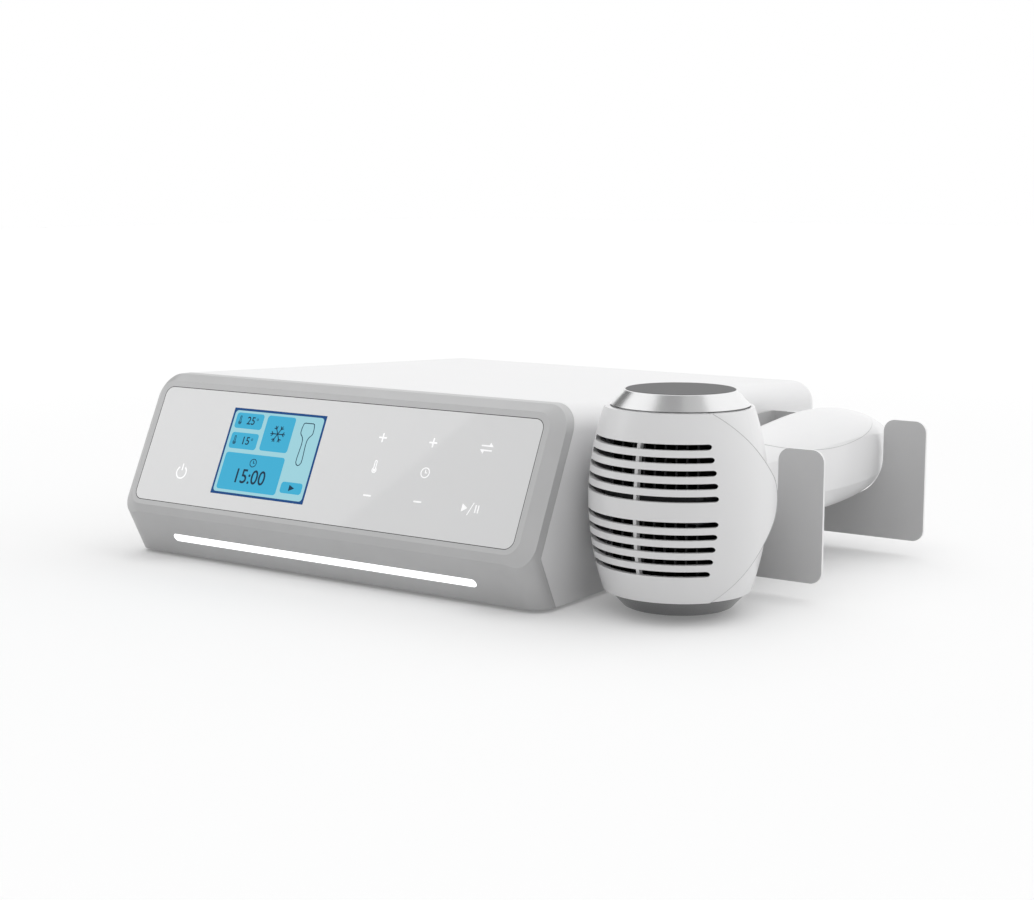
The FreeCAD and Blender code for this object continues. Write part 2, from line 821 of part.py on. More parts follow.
def makeBase():
    body = newBody("base_plate")
    sketch = drawOn(body, "XY_Plane", lift="foot_height")
    wide = "(console_width - 2*shell_wall - 2*rear_gap)"
    front = f"({chinLine('seam_depth', 'foot_height')} + base_gap)"
    back = "(console_depth - shell_wall - rear_gap)"
    corner = "edge_round - shell_wall - rear_gap"
    roundBox(sketch, "0", f"({front} + {back})/2", wide, f"{back} - {front}", corner)
    pad(body, sketch, "shell_wall")
    rows = int(size("vent_rows"))
    for side in (-1, 1):
        vents = drawOn(body, "XY_Plane", lift="foot_height - 1")
        roundBox(vents, f"{side}*vent_x", "vent_y", "vent_long", "vent_wide", "vent_wide/2 - 0.01")
        cut = pocket(body, vents, "shell_wall + 2", back=True)
        pattern(body, cut, "Y_Axis", f"{rows - 1}*vent_pitch", rows)
    holes = drawOn(body, "XY_Plane", lift="foot_height - 1")
    for x, y in baseScrews():
        disc(holes, x, y, "small_screw + screw_clearance")
    pocket(body, holes, "shell_wall + 2", back=True)
    place(body)

    screws = newBody("base_screws")
    heads = drawOn(screws, "XY_Plane", lift="foot_height")
    for x, y in baseScrews():
        disc(heads, x, y, "small_head")
    pad(screws, heads, "small_head_tall", back=True)
    shanks = drawOn(screws, "XY_Plane", lift="foot_height")
    for x, y in baseScrews():
        disc(shanks, x, y, "small_screw")
    pad(screws, shanks, "small_screw_long")
    place(screws)


def makeFeet():
    body = newBody("rubber_feet")
    sketch = drawOn(body, "XY_Plane")
    for side in (-1, 1):
        for y in ("foot_front_y", "console_depth - foot_rear_in"):
            disc(sketch, f"{side}*(console_width/2 - foot_in)", y, "foot_radius")
    pad(body, sketch, "foot_height")
    place(body)


# ---------------------------------------------------------------- touch panel, display, light


def onFace(body, depth):
    """Turns and moves a body drawn flat so that it lies this deep in the face."""
    body.Placement = Placement(Vector(0, 0, 0), Rotation(Vector(1, 0, 0), 90 - size("face_tilt")))
    body.setExpression("Placement.Rotation.Angle", bound("90 - face_tilt"))
    body.setExpression("Placement.Base.x", bound(f"-{originX}"))
    body.setExpression("Placement.Base.y", bound(f"({depth})*cos(face_tilt) - {originY}"))
    body.setExpression("Placement.Base.z", bound(f"face_low - ({depth})*sin(face_tilt)"))


def faceBoard(label, x, y, wide, tall, thick, depth, corner="1"):
    """A flat board parallel to the face, whose front lies at a depth."""
    body = newBody(label)
    sketch = drawOn(body, "XY_Plane")
    roundBox(sketch, x, y, wide, tall, corner)
    pad(body, sketch, thick, back=True)
    onFace(body, depth)
    return body


def makePanel():
    middle = "(glass_low + glass_tall/2)"
    behind = "(glass_thick + layer_gap)"
    faceBoard("glass_panel", "0", middle, "glass_wide", "glass_tall", "glass_thick", "glass_proud",
              "glass_round")
    screenY = "(screen_low + screen_tall/2)"
    faceBoard("lcd_screen", "screen_x", screenY, "screen_wide", "screen_tall", "lcd_thick", behind)
    faceBoard("lcd_module", "screen_x", screenY, "screen_wide + 2*module_border",
              "screen_tall + 2*module_border", "module_thick", f"{behind} + lcd_thick")
    touchRight = "(glass_wide/2 - touch_margin)"
    faceBoard("touch_board", f"(touch_left + {touchRight})/2", middle, f"{touchRight} - touch_left",
              "touch_tall", "board_thick", behind)
    faceBoard("power_key_board", "power_key_in - glass_wide/2", "power_key_up", "power_key_side",
              "power_key_side", "board_thick", behind)
    faceBoard("display_board", "0", middle, "glass_wide - 2*display_board_margin", "display_board_tall",
              "board_thick", f"{behind} + lcd_thick + module_thick + layer_gap")


def onChin(body, depth):
    body.Placement = Placement(Vector(0, 0, 0), Rotation(Vector(1, 0, 0), 90 + size("chin_tilt")))
    body.setExpression("Placement.Rotation.Angle", bound("90 + chin_tilt"))
    body.setExpression("Placement.Base.x", bound(f"-{originX}"))
    body.setExpression("Placement.Base.y", bound(f"({depth})*cos(chin_tilt) - {originY}"))
    body.setExpression("Placement.Base.z", bound(f"{chinHead} + ({depth})*sin(chin_tilt)"))


def makeLightBar():
    bar = newBody("light_bar")
    sketch = drawOn(bar, "XY_Plane")
    tall = "(bar_tall - 2*bar_gap)"
    roundBox(sketch, "0", "-bar_down", "bar_long - 2*bar_gap", tall, f"{tall}/2 - 0.01")
    pad(bar, sketch, "bezel_wall - 2*bar_gap", back=True)
    flange = drawOn(bar, "XY_Plane", lift="-(bezel_wall - 2*bar_gap)")
    roundBox(flange, "0", "-bar_down", "bar_long + 4*bar_flange", "bar_tall + 3*bar_flange", "2*bar_flange")
    pad(bar, flange, "bar_flange", back=True)
    onChin(bar, "2*bar_gap")
    strip = newBody("led_strip")
    sketch = drawOn(strip, "XY_Plane")
    roundBox(sketch, "0", "-bar_down", "bar_long - 4*bar_flange", "bar_tall + 2*bar_flange", "bar_flange")
    pad(strip, sketch, "board_thick", back=True)
    leds = drawOn(strip, "XY_Plane")
    count = int(size("led_count"))
    for i in range(count):
        box(leds, f"(bar_long - bar_margin/2)*({i}/{count - 1} - 0.5)", "-bar_down", "led_side", "led_side")
    pad(strip, leds, "bar_flange")
    onChin(strip, "bezel_wall + 2*bar_flange + bar_gap")


# ---------------------------------------------------------------- holder


def makeHolder():
    body = newBody("holder_bracket")
    inner = "(console_width/2 + wall_gap)"
    plan = drawOn(body, "XY_Plane", lift="holder_low")
    back = "(holder_front + holder_span)"
    outline(plan, [
        (inner, "holder_front"),
        ("holder_reach", "holder_front"),
        ("holder_reach", "holder_front + sheet"),
        (f"{inner} + sheet", "holder_front + sheet"),
        (f"{inner} + sheet", f"{back} - sheet"),
        ("holder_reach", f"{back} - sheet"),
        ("holder_reach", back),
        (inner, back),
    ])
    pad(body, plan, "holder_top - holder_low")
    x = size(inner)
    wall = size("sheet")
    yFront = size("holder_front")
    yBack = size(back)

    def upright(edge, cornerX, cornerY):
        a, b = ends(edge)
        return near(a.x, cornerX) and near(b.x, cornerX) and near(a.y, cornerY) and near(b.y, cornerY)

    roundEdges(body, "bend_inner + sheet", lambda e: upright(e, x, yFront) or upright(e, x, yBack))
    roundEdges(body, "bend_inner", lambda e: upright(e, x + wall, yFront + wall)
               or upright(e, x + wall, yBack - wall))
    # the notches, each open at the top with a round floor, and the round corners of the arms
    for start in ("holder_front", f"({back} - sheet)"):
        floor = f"(head_z - {gripDrop(f'{start} + sheet/2 - head_y')} - rest_gap)"
        notch = drawOn(body, "XZ_Plane", lift=f"-({start} - 1)")
        above = "(holder_top + notch_round + 1)"
        roundBox(notch, "head_x", f"({floor} + {above})/2", "notch_wide", f"{above} - {floor}", "notch_round")
        pocket(body, notch, "sheet + 2")
    reach = size("holder_reach")
    notchEdges = [size("head_x - notch_wide/2"), size("head_x + notch_wide/2"), reach]

    def armCorner(edge):
        a, b = ends(edge)
        flat = near(a.x, b.x) and near(a.z, b.z)
        atEnd = any(near(a.x, v) for v in notchEdges)
        atLevel = near(a.z, size("holder_top")) or (near(a.z, size("holder_low")) and near(a.x, reach))
        return flat and atEnd and atLevel

    roundEdges(body, "holder_round", armCorner)
    holes = drawOn(body, "YZ_Plane")
    for y, z in holderScrews():
        disc(holes, y, z, "screw_radius + screw_clearance")
    pocket(body, holes, "console_width", back=True)
    place(body)

    screws = newBody("holder_screws")
    inside = "(shell_wall + nut_thick + screw_tail)"
    shank = drawOn(screws, "YZ_Plane", lift=f"console_width/2 - {inside}")
    for y, z in holderScrews():
        disc(shank, y, z, "screw_radius")
    pad(screws, shank, f"{inside} + wall_gap + sheet")
    heads = drawOn(screws, "YZ_Plane", lift="console_width/2 + wall_gap + sheet")
    for y, z in holderScrews():
        disc(heads, y, z, "head_radius")
    pad(screws, heads, "head_tall")
    place(screws)

    nuts = newBody("holder_nut_plate")
    plate = drawOn(nuts, "YZ_Plane", lift="console_width/2 - shell_wall")
    box(plate, "holder_front + holder_span/2", "(holder_low + holder_top)/2", "holder_span - 2*nut_margin",
        "holder_top - holder_low - nut_margin")
    pad(nuts, plate, "nut_thick", back=True)
    nutHoles = drawOn(nuts, "YZ_Plane", lift="console_width/2")
    for y, z in holderScrews():
        disc(nutHoles, y, z, "screw_radius + thread_gap")
    pocket(nuts, nutHoles, "shell_wall + nut_thick + 1")
    place(nuts)


# ---------------------------------------------------------------- handpiece head


def barrel(outset, stretch=1.0, half=None):
    """The head's barrel about its own middle. Its rear half may be stretched backwards."""
    tall = size("barrel_half") if half is None else half
    rim = size("rim_radius") + outset
    belly = size("belly_radius") + outset
    side = Part.Arc(Vector(rim, 0, -tall), Vector(belly, 0, 0), Vector(rim, 0, tall)).toShape()
    top = Part.makeLine(Vector(rim, 0, tall), Vector(0, 0, tall))
    axis = Part.makeLine(Vector(0, 0, tall), Vector(0, 0, -tall))
    low = Part.makeLine(Vector(0, 0, -tall), Vector(rim, 0, -tall))
    section = Part.Face(Part.Wire([side, top, axis, low]))
    rear = section.revolve(Vector(0, 0, 0), Vector(0, 0, 1), 180)
    front = section.revolve(Vector(0, 0, 0), Vector(0, 0, 1), -180)
    if stretch != 1.0:
        scale = Matrix()
        scale.A22 = stretch
        rear = rear.transformGeometry(scale)
    return front.fuse(rear)


def coverRegion(gap=0.0):
    """A block in front of the cover's seam, which runs back to a round point at mid height."""
    half = size("barrel_half")
    frontY = size("seam_top_y") - gap
    apexY = size("seam_apex_y") - gap
    slope = half / (apexY - frontY)
    over = 30.0
    highY = frontY - over / slope
    far = -2 * size("belly_radius")
    radius = size("seam_round")
    angle = math.atan2(half, apexY - frontY)
    centreY = apexY - radius / math.sin(angle)
    touchY = centreY + radius * math.sin(angle)
    touchZ = radius * math.cos(angle)
    top = Vector(0, highY, half + over)
    low = Vector(0, highY, -half - over)
    edges = [
        Part.makeLine(top, Vector(0, touchY, touchZ)),
        Part.Arc(Vector(0, touchY, touchZ), Vector(0, centreY + radius, 0),
                 Vector(0, touchY, -touchZ)).toShape(),
        Part.makeLine(Vector(0, touchY, -touchZ), low),
        Part.makeLine(low, Vector(0, far, -half - over)),
        Part.makeLine(Vector(0, far, -half - over), Vector(0, far, half + over)),
        Part.makeLine(Vector(0, far, half + over), top),
    ]
    width = 3 * size("belly_radius")
    block = Part.Face(Part.Wire(edges)).extrude(Vector(width, 0, 0))
    block.translate(Vector(-width / 2, 0, 0))
    return block


def slotLevels():
    count = int(size("slots_each_side"))
    return [side * size("slot_pitch") * i for side in (1, -1) for i in range(1, count + 1)]


def slotCutter(level):
    """A flat slot cut from the front, whose round ends lie on one plane across the barrel."""
    half = size("barrel_half")
    sagitta = size("belly_radius - rim_radius")
    radius = size("belly_radius") - sagitta * (level / half) ** 2
    reach = math.sqrt(radius**2 - size("slot_back_y") ** 2)
    tall = size("slot_tall")
    flat = reach - tall / 2
    depth = size("belly_radius") + 5
    middle = Part.makeBox(2 * flat, depth, tall, Vector(-flat, -depth, level - tall / 2))
    for side in (-1, 1):
        end = Part.makeCylinder(tall / 2, depth, Vector(side * flat, 0, level), Vector(0, -1, 0))
        middle = middle.fuse(end)
    return middle


def makeHead():
    wall = size("head_wall")
    half = size("barrel_half")
    mouth = size("cap_radius + cap_gap")
    bore = Part.makeCylinder(mouth, 4 * half, Vector(0, 0, -2 * half))
    stretch = size("wing_stretch")
    outside = barrel(0.0, stretch)
    inside = barrel(-wall, stretch, half - wall)
    cover = outside.cut(inside).cut(bore).common(coverRegion())
    for level in slotLevels():
        cover = cover.cut(slotCutter(level))
    # the upright rib that ties the slats together inside
    ribWide = size("rib_wide")
    ribTall = 2 * (half - size("slot_pitch"))
    belly = size("belly_radius")
    rib = Part.makeBox(ribWide, belly, ribTall, Vector(-ribWide / 2, -belly, -ribTall / 2))
    bite = 0.2
    band = barrel(bite - wall).cut(barrel(-wall - size("rib_deep")))
    cover = cover.fuse(rib.common(band))
    front = shapePart("head_front_cover", cover.removeSplitter())
    place(front, "head_x", "head_y", "head_z")


def makeCaps():
    for label, side in (("cold_cap", 1), ("hot_cap", -1)):
        body = newBody(label)
        section = drawOn(body, "XZ_Plane")
        low = "(barrel_half - cap_skirt)"
        foot = "(barrel_half + cap_seat)"
        top = "(barrel_half + cap_rise)"
        outline(section, [
            ("0", low),
            ("cap_radius - cap_lip", low),
            ("cap_radius - cap_lip", foot),
            ("cap_radius", f"{foot} + cap_lip"),
            ("cap_top_radius + cap_edge_wide", f"{top} - cap_edge_tall"),
            ("cap_top_radius", top),
            ("0", top),
        ])
        revolve(body, section)
        place(body, "head_x", "head_y", "head_z", Rotation(Vector(1, 0, 0), 0 if side > 0 else 180))


def makeCoolers():
    """The stack under each cap: thermoelectric module, then a finned heat sink."""
    for name, turn in (("cold", 0), ("hot", 180)):
        module = newBody(name + "_peltier_module")
        top = "(barrel_half - cap_skirt - stack_gap)"
        sketch = drawOn(module, "XY_Plane", lift=top)
        box(sketch, "0", "0", "cooler_side", "cooler_side")
        pad(module, sketch, "cooler_thick", back=True)
        place(module, "head_x", "head_y", "head_z", Rotation(Vector(1, 0, 0), turn))
        sink = newBody(name + "_heat_sink")
        seat = f"({top} - cooler_thick - stack_gap)"
        plate = drawOn(sink, "XY_Plane", lift=seat)
        box(plate, "0", "0", "sink_side", "sink_side")
        pad(sink, plate, "sink_base", back=True)
        fins = drawOn(sink, "XY_Plane", lift=f"{seat} - sink_base")
        count = int(size("fin_count"))
        for i in range(count):
            spot = f"(sink_side - fin_thick)*({i}/{count - 1} - 0.5)"
            box(fins, spot, "0", "fin_thick", "sink_side")
        pad(sink, fins, f"{seat} - sink_base - fan_thick/2 - stack_gap", back=True)
        place(sink, "head_x", "head_y", "head_z", Rotation(Vector(1, 0, 0), turn))


# ---------------------------------------------------------------- fans


def makeFan(prefix, x, y, z, rotation):
    """A square axial fan about its own axis: a frame whose spokes carry a tube, with the bush in
    it and the coil round it, and the wheel, whose cup holds the magnet and the shaft."""
    back = "(-fan_thick/2)"
    floor = f"({back} + fan_floor)"
    low = f"({floor} + hub_gap)"
    tubeTall = "(fan_thick - fan_floor - 2*hub_gap - hub_wall - coil_gap)"

    frame = newBody(prefix + "_fan_frame")
    square = drawOn(frame, "XY_Plane", lift=back)
    roundBox(square, "0", "0", "fan_side", "fan_side", "fan_corner")
    pad(frame, square, "fan_thick")
    duct = drawOn(frame, "XY_Plane", lift=floor)
    disc(duct, "0", "0", "duct_radius")
    pocket(frame, duct, "fan_thick", back=True)
    through = drawOn(frame, "XY_Plane", lift=f"{back} - 1")
    for holeX, holeY in fanHoles("0", "0"):
        disc(through, holeX, holeY, "fan_hole")
    pocket(frame, through, "fan_thick + 2", back=True)
    windows = drawOn(frame, "XY_Plane", lift=f"{back} - 1")
    fanWindows(windows)
    pocket(frame, windows, "fan_floor + 2", back=True)
    tube = drawOn(frame, "XY_Plane", lift=floor)
    disc(tube, "0", "0", "tube_radius")
    disc(tube, "0", "0", "bush_radius + stack_gap")
    pad(frame, tube, tubeTall)
    place(frame, x, y, z, rotation)

    bush = newBody(prefix + "_fan_bush")
    ring = drawOn(bush, "XY_Plane", lift=f"{floor} + stack_gap")
    disc(ring, "0", "0", "bush_radius")
    disc(ring, "0", "0", "shaft_radius + shaft_gap")
    pad(bush, ring, tubeTall)
    place(bush, x, y, z, rotation)

    coil = newBody(prefix + "_fan_coil")
    core = drawOn(coil, "XY_Plane", lift=low)
    coilRadius = "(hub_inside - magnet_thick - coil_gap)"
    disc(core, "0", "0", coilRadius)
    disc(core, "0", "0", "tube_radius + stack_gap")
    pad(coil, core, "coil_tall")
    poles = drawOn(coil, "XY_Plane", lift=f"{low} - 1")
    for side in (-1, 1):
        box(poles, f"{side}*{coilRadius}", "0", f"{coilRadius}/2", "coil_slot")
        box(poles, "0", f"{side}*{coilRadius}", "coil_slot", f"{coilRadius}/2")
    pocket(coil, poles, "coil_tall + 2", back=True)
    place(coil, x, y, z, rotation)

    magnet = newBody(prefix + "_fan_magnet")
    band = drawOn(magnet, "XY_Plane", lift=f"{low} + hub_gap")
    disc(band, "0", "0", "hub_inside - stack_gap")
    disc(band, "0", "0", "hub_inside - magnet_thick")
    pad(magnet, band, "coil_tall")
    place(magnet, x, y, z, rotation)

    wheel = shapePart(prefix + "_fan_wheel", fanWheel(size(low)))
    place(wheel, x, y, z, rotation)


def fanHoles(x, z):
    """The four holes in a fan's corners, about a place."""
    for sx in (-1, 1):
        for sz in (-1, 1):
            yield f"{x} + {sx}*(fan_side/2 - fan_hole_in)", f"{z} + {sz}*(fan_side/2 - fan_hole_in)"


def fanWindows(sketch):
    """Four quarter rings between the hub seat and the duct, which leave the four spokes."""
    inner = "sqrt(hub_radius^2 - spoke_half^2)"
    outer = "sqrt(duct_radius^2 - spoke_half^2)"
    for sx, sy in ((1, 1), (-1, 1), (-1, -1), (1, -1)):
        way = sx * sy
        outline(sketch, [
            (f"{sx}*{inner}", f"{sy}*spoke_half"),
            (f"{sx}*{outer}", f"{sy}*spoke_half", f"{way}*(duct_radius - ({outer} + spoke_half)/sqrt(2))"),
            (f"{sx}*spoke_half", f"{sy}*{outer}"),
            (f"{sx}*spoke_half", f"{sy}*{inner}", f"{-way}*(hub_radius - ({inner} + spoke_half)/sqrt(2))"),
        ])


def fanWheel(low):
    """A cup on its shaft with twisted blades round it, each a loft from its root to its tip."""
    high = size("fan_thick/2 - hub_gap")
    hub = size("hub_radius")
    wall = size("hub_wall")
    tip = size("duct_radius - fan_tip_gap")
    thick = size("blade_thick")
    rootLean = 8.0
    tipLean = 11.0
    sections = []
    for radius, lean in ((math.sqrt(hub**2 - rootLean**2), rootLean), (tip + 1, tipLean)):
        corners = [
            Vector(radius, -lean, low),
            Vector(radius, -lean + thick, low),
            Vector(radius, lean, high),
            Vector(radius, lean - thick, high),
        ]
        sections.append(Part.makePolygon(corners + [corners[0]]))
    blade = Part.makeLoft(sections, True, True)
    blade = blade.common(Part.makeCylinder(tip, 4 * tip, Vector(0, 0, -2 * tip)))
    blade = blade.cut(Part.makeCylinder(hub - wall / 2, 4 * tip, Vector(0, 0, -2 * tip)))
    tall = high - low
    shape = Part.makeCylinder(hub, tall, Vector(0, 0, low))
    shape = shape.cut(Part.makeCylinder(hub - wall, tall - wall, Vector(0, 0, low)))
    shape = shape.fuse(Part.makeCylinder(size("shaft_radius"), tall, Vector(0, 0, low)))
    count = int(size("blade_count"))
    for i in range(count):
        turned = blade.copy()
        turned.rotate(Vector(0, 0, 0), Vector(0, 0, 1), 360.0 * i / count)
        shape = shape.fuse(turned)
    return shape.removeSplitter()


# ---------------------------------------------------------------- handpiece grip

# Along the grip: share of its length, then shares of its half width, rise and drop.
gripStations = [
    (0.00, 0.68, 0.79, 0.77),
    (0.14, 0.76, 0.81, 0.81),
    (0.28, 0.85, 0.85, 0.86),
    (0.42, 0.93, 0.92, 0.92),
    (0.57, 0.98, 0.985, 0.97),
    (0.71, 0.98, 0.955, 0.965),
    (0.83, 0.92, 0.83, 0.89),
    (0.933, 0.74, 0.63, 0.73),
    (0.975, 0.56, 0.48, 0.56),
    (1.00, 0.32, 0.28, 0.34),
]
creaseShare = 0.46
sideBulge = 0.05
boardRibs = (0.35, 0.62)


def gripDrop(y):
    """How far the grip reaches below its axis at a place along it."""
    share = size(f"(({y}) - handle_start)/(handle_end - handle_start)")
    after = next(i for i, station in enumerate(gripStations) if station[0] >= share)
    low, high = gripStations[after - 1], gripStations[after]
    drop = low[3] + (high[3] - low[3]) * (share - low[0]) / (high[0] - low[0])
    return f"{drop:.4f}*handle_drop"


def gripSection(station, inset):
    """One cross-section of the grip: a domed top and bottom between two upright sides."""
    share, wide, rise, drop = station
    start = size("handle_start")
    y = start + share * (size("handle_end") - start)
    half = wide * size("handle_half_width") - inset
    top = rise * size("handle_rise") - inset
    low = -(drop * size("handle_drop") - inset)
    shoulder = creaseShare * top
    hip = creaseShare * low
    corners = [Vector(-half, y, shoulder), Vector(half, y, shoulder),
               Vector(half, y, hip), Vector(-half, y, hip)]
    middle = (shoulder + hip) / 2
    bulged = half * (1 + sideBulge)
    through = [Vector(0, y, top), Vector(bulged, y, middle), Vector(0, y, low), Vector(-bulged, y, middle)]
    arcs = [Part.Arc(corners[i], through[i], corners[(i + 1) % 4]).toShape() for i in range(4)]
    return Part.Wire(arcs)


def gripSolid(first, last, inset=0.0):
    return Part.makeLoft([gripSection(s, inset) for s in gripStations[first:last]], True, False)


def leafRegion(gap=0.0):
    """All above the line that parts the top cover from the grip, seen from the side."""
    start = Vector(0, size("leaf_start_y"), size("leaf_start_z") + gap)
    low = Vector(0, size("leaf_low_y"), size("leaf_low_z") + gap)
    end = Vector(0, size("leaf_end_y"), size("leaf_end_z") + gap)
    above = 2 * size("handle_rise")
    endAbove = Vector(0, end.y, above)
    startAbove = Vector(0, start.y, above)
    sides = [(end, endAbove), (endAbove, startAbove), (startAbove, start)]
    wire = Part.Wire([Part.Arc(start, low, end).toShape()] + [Part.makeLine(a, b) for a, b in sides])
    half = 2 * size("handle_half_width")
    block = Part.Face(wire).extrude(Vector(2 * half, 0, 0))
    block.translate(Vector(-half, 0, 0))
    return block


def makeGrip():
    wall = size("grip_wall")
    half = size("barrel_half")
    inset = -size("rear_inset")
    headWall = size("head_wall")
    count = len(gripStations)
    grip = gripSolid(0, count - 2)
    hollow = gripSolid(0, count - 2, wall)
    mouth = Part.makeCylinder(size("cap_radius + cap_gap"), 4 * half, Vector(0, 0, -2 * half))
    outside = barrel(inset, 1.0, half).fuse(grip)
    inside = barrel(inset - headWall, 1.0, half - headWall)
    body = outside.cut(inside).cut(hollow).cut(mouth)
    body = body.cut(coverRegion(-size("seam_gap")))
    # the lip that runs forward under the front cover
    lipOut = -headWall - size("lip_gap")
    lipIn = lipOut - size("lip_wall")
    lip = barrel(lipOut, 1.0, half + lipOut).cut(barrel(lipIn, 1.0, half + lipIn))
    lip = lip.cut(coverRegion(size("lip_reach"))).common(coverRegion(-size("lip_root")))
    # two ribs that carry the board
    ribs = []
    for share in boardRibs:
        y = size(f"handle_start + {share}*(handle_end - handle_start)")
        rib = Part.makeBox(120, size("board_rib"), 60 - size("grip_board_down"), Vector(-60, y, -60))
        ribs.append(rib.common(gripSolid(0, count - 2, wall - 0.5)))
    body = body.fuse([lip.cut(mouth)] + ribs)
    body = body.cut(leafRegion(-size("leaf_gap") / 2)).removeSplitter()
    housing = shapePart("grip_housing", body)
    place(housing, "head_x", "head_y", "head_z")
    cover = grip.cut(hollow).common(leafRegion(size("leaf_gap") / 2))
    cover = cover.cut(barrel(inset + size("leaf_gap"))).removeSplitter()
    place(shapePart("grip_top_cover", cover), "head_x", "head_y", "head_z")
    # the end cap, with the hole for the cord's gland
    cap = gripSolid(count - 3, count)
    start = gripSection(gripStations[count - 3], 0.0).BoundBox.YMax
    cap.translate(Vector(0, size("leaf_gap") / 2, 0))
    plug = Part.makeCylinder(size("gland_radius"), 60, Vector(0, start - 5, 0), Vector(0, 1, 0))
    room = gripSolid(count - 3, count, wall + 1.0)
    room.translate(Vector(0, -1.0, 0))
    cap = cap.cut(room).cut(plug).removeSplitter()
    place(shapePart("grip_end_cap", cap), "head_x", "head_y", "head_z")
    gland = newBody("cord_gland")
    section = drawOn(gland, "XY_Plane")
    outline(section, [
        ("cord_bore_radius", "handle_end - gland_in"),
        ("gland_radius + gland_flange", "handle_end - gland_in"),
        ("gland_radius + gland_flange", "handle_end - gland_in + 2"),
        ("gland_radius - thread_gap", "handle_end - gland_in + 2"),
        ("gland_radius - thread_gap", "handle_end + gland_out"),
        ("cord_bore_radius", "handle_end + gland_out"),
    ])
    revolve(gland, section)
    place(gland, "head_x", "head_y", "head_z")
    board = newBody("grip_board")
    sketch = drawOn(board, "XY_Plane", lift="stack_gap - grip_board_down")
    middle = f"(handle_start + {sum(boardRibs) / 2}*(handle_end - handle_start))"
    roundBox(sketch, "0", middle, "grip_board_wide", "grip_board_long", "2")
    pad(board, sketch, "board_thick")
    chips = drawOn(board, "XY_Plane", lift="stack_gap - grip_board_down + board_thick")
    for row, wide, tall in ((-1, 10, 10), (0, 6, 8), (1, 12, 6)):
        box(chips, "0", f"{middle} + {row}*grip_board_long/3", str(wide), str(tall))
    pad(board, chips, "2")
    place(board, "head_x", "head_y", "head_z")


def makeCapRings():
    for name, turn in (("cold", 0), ("hot", 180)):
        ring = newBody(name + "_cap_ring")
        top = "(barrel_half - cap_skirt - stack_gap)"
        sketch = drawOn(ring, "XY_Plane", lift=top)
        disc(sketch, "0", "0", "ring_outer")
        disc(sketch, "0", "0", "ring_inner")
        pad(ring, sketch, "ring_tall", back=True)
        place(ring, "head_x", "head_y", "head_z", Rotation(Vector(1, 0, 0), turn))


# ---------------------------------------------------------------- rear panel and what it holds


def makeRearPanel():
    body = newBody("rear_panel")
    middle = "((rear_low + rear_top)/2)"
    wide = "(2*rear_half_width - 2*rear_gap)"
    tall = "(rear_top - rear_low - 2*rear_gap)"
    back = "(console_depth - rear_gap)"
    inner = "(console_depth - shell_wall)"
    plate = drawOn(body, "XZ_Plane", lift=f"-{back}")
    roundBox(plate, "0", middle, wide, tall, "rear_round - rear_gap")
    pad(body, plate, "shell_wall")
    flange = drawOn(body, "XZ_Plane", lift=f"-({inner} - stack_gap)")
    roundBox(flange, "0", middle, f"{wide} + 2*rear_flange", f"{tall} + 2*rear_flange", "rear_round + 1")
    pad(body, flange, "rear_thick")
    hole = drawOn(body, "XZ_Plane", lift="-console_depth - 5")
    roundBox(hole, "inlet_x", "inlet_z", "inlet_wide + 2*rear_gap", "inlet_tall + 2*rear_gap", "1")
    for z in inletScrews():
        disc(hole, "inlet_x", z, "small_screw + screw_clearance")
    disc(hole, "connector_x", "connector_z", "connector_radius + layer_gap")
    for x, z in fanHoles("console_fan_x", "console_fan_z"):
        disc(hole, x, z, "fan_hole")
    half = int(size("grille_half_count"))
    for i in range(-half, half + 1):
        level = f"{i}*grille_pitch"
        chord = f"2*sqrt((duct_radius - fan_rim)^2 - ({level})^2)"
        slotEnd = "grille_slot/2 - 0.01"
        roundBox(hole, "console_fan_x", f"console_fan_z + {level}", chord, "grille_slot", slotEnd)
    pocket(body, hole, "shell_wall + rear_thick + 10", back=True)
    place(body)

    screws = newBody("fan_screws")
    heads = drawOn(screws, "XZ_Plane", lift=f"-{back}")
    for x, z in fanHoles("console_fan_x", "console_fan_z"):
        disc(heads, x, z, "head_radius")
    pad(screws, heads, "head_tall", back=True)
    shanks = drawOn(screws, "XZ_Plane", lift=f"-{back}")
    for x, z in fanHoles("console_fan_x", "console_fan_z"):
        disc(shanks, x, z, "screw_radius")
    pad(screws, shanks, "fan_screw_long")
    place(screws)


def inletScrews():
    """Heights of the two screws that hold the inlet."""
    for side in (-1, 1):
        yield f"inlet_z + {side}*inlet_screw_up"


def inletBox(body, z, wide, tall, depth, corner="0.5"):
    sketch = drawOn(body, "XZ_Plane", lift="-(console_depth + inlet_flange_thick + 0.1)")
    roundBox(sketch, "inlet_x", f"inlet_z + {z}", wide, tall, corner)
    return pocket(body, sketch, f"{depth} + inlet_flange_thick + 0.1", back=True)


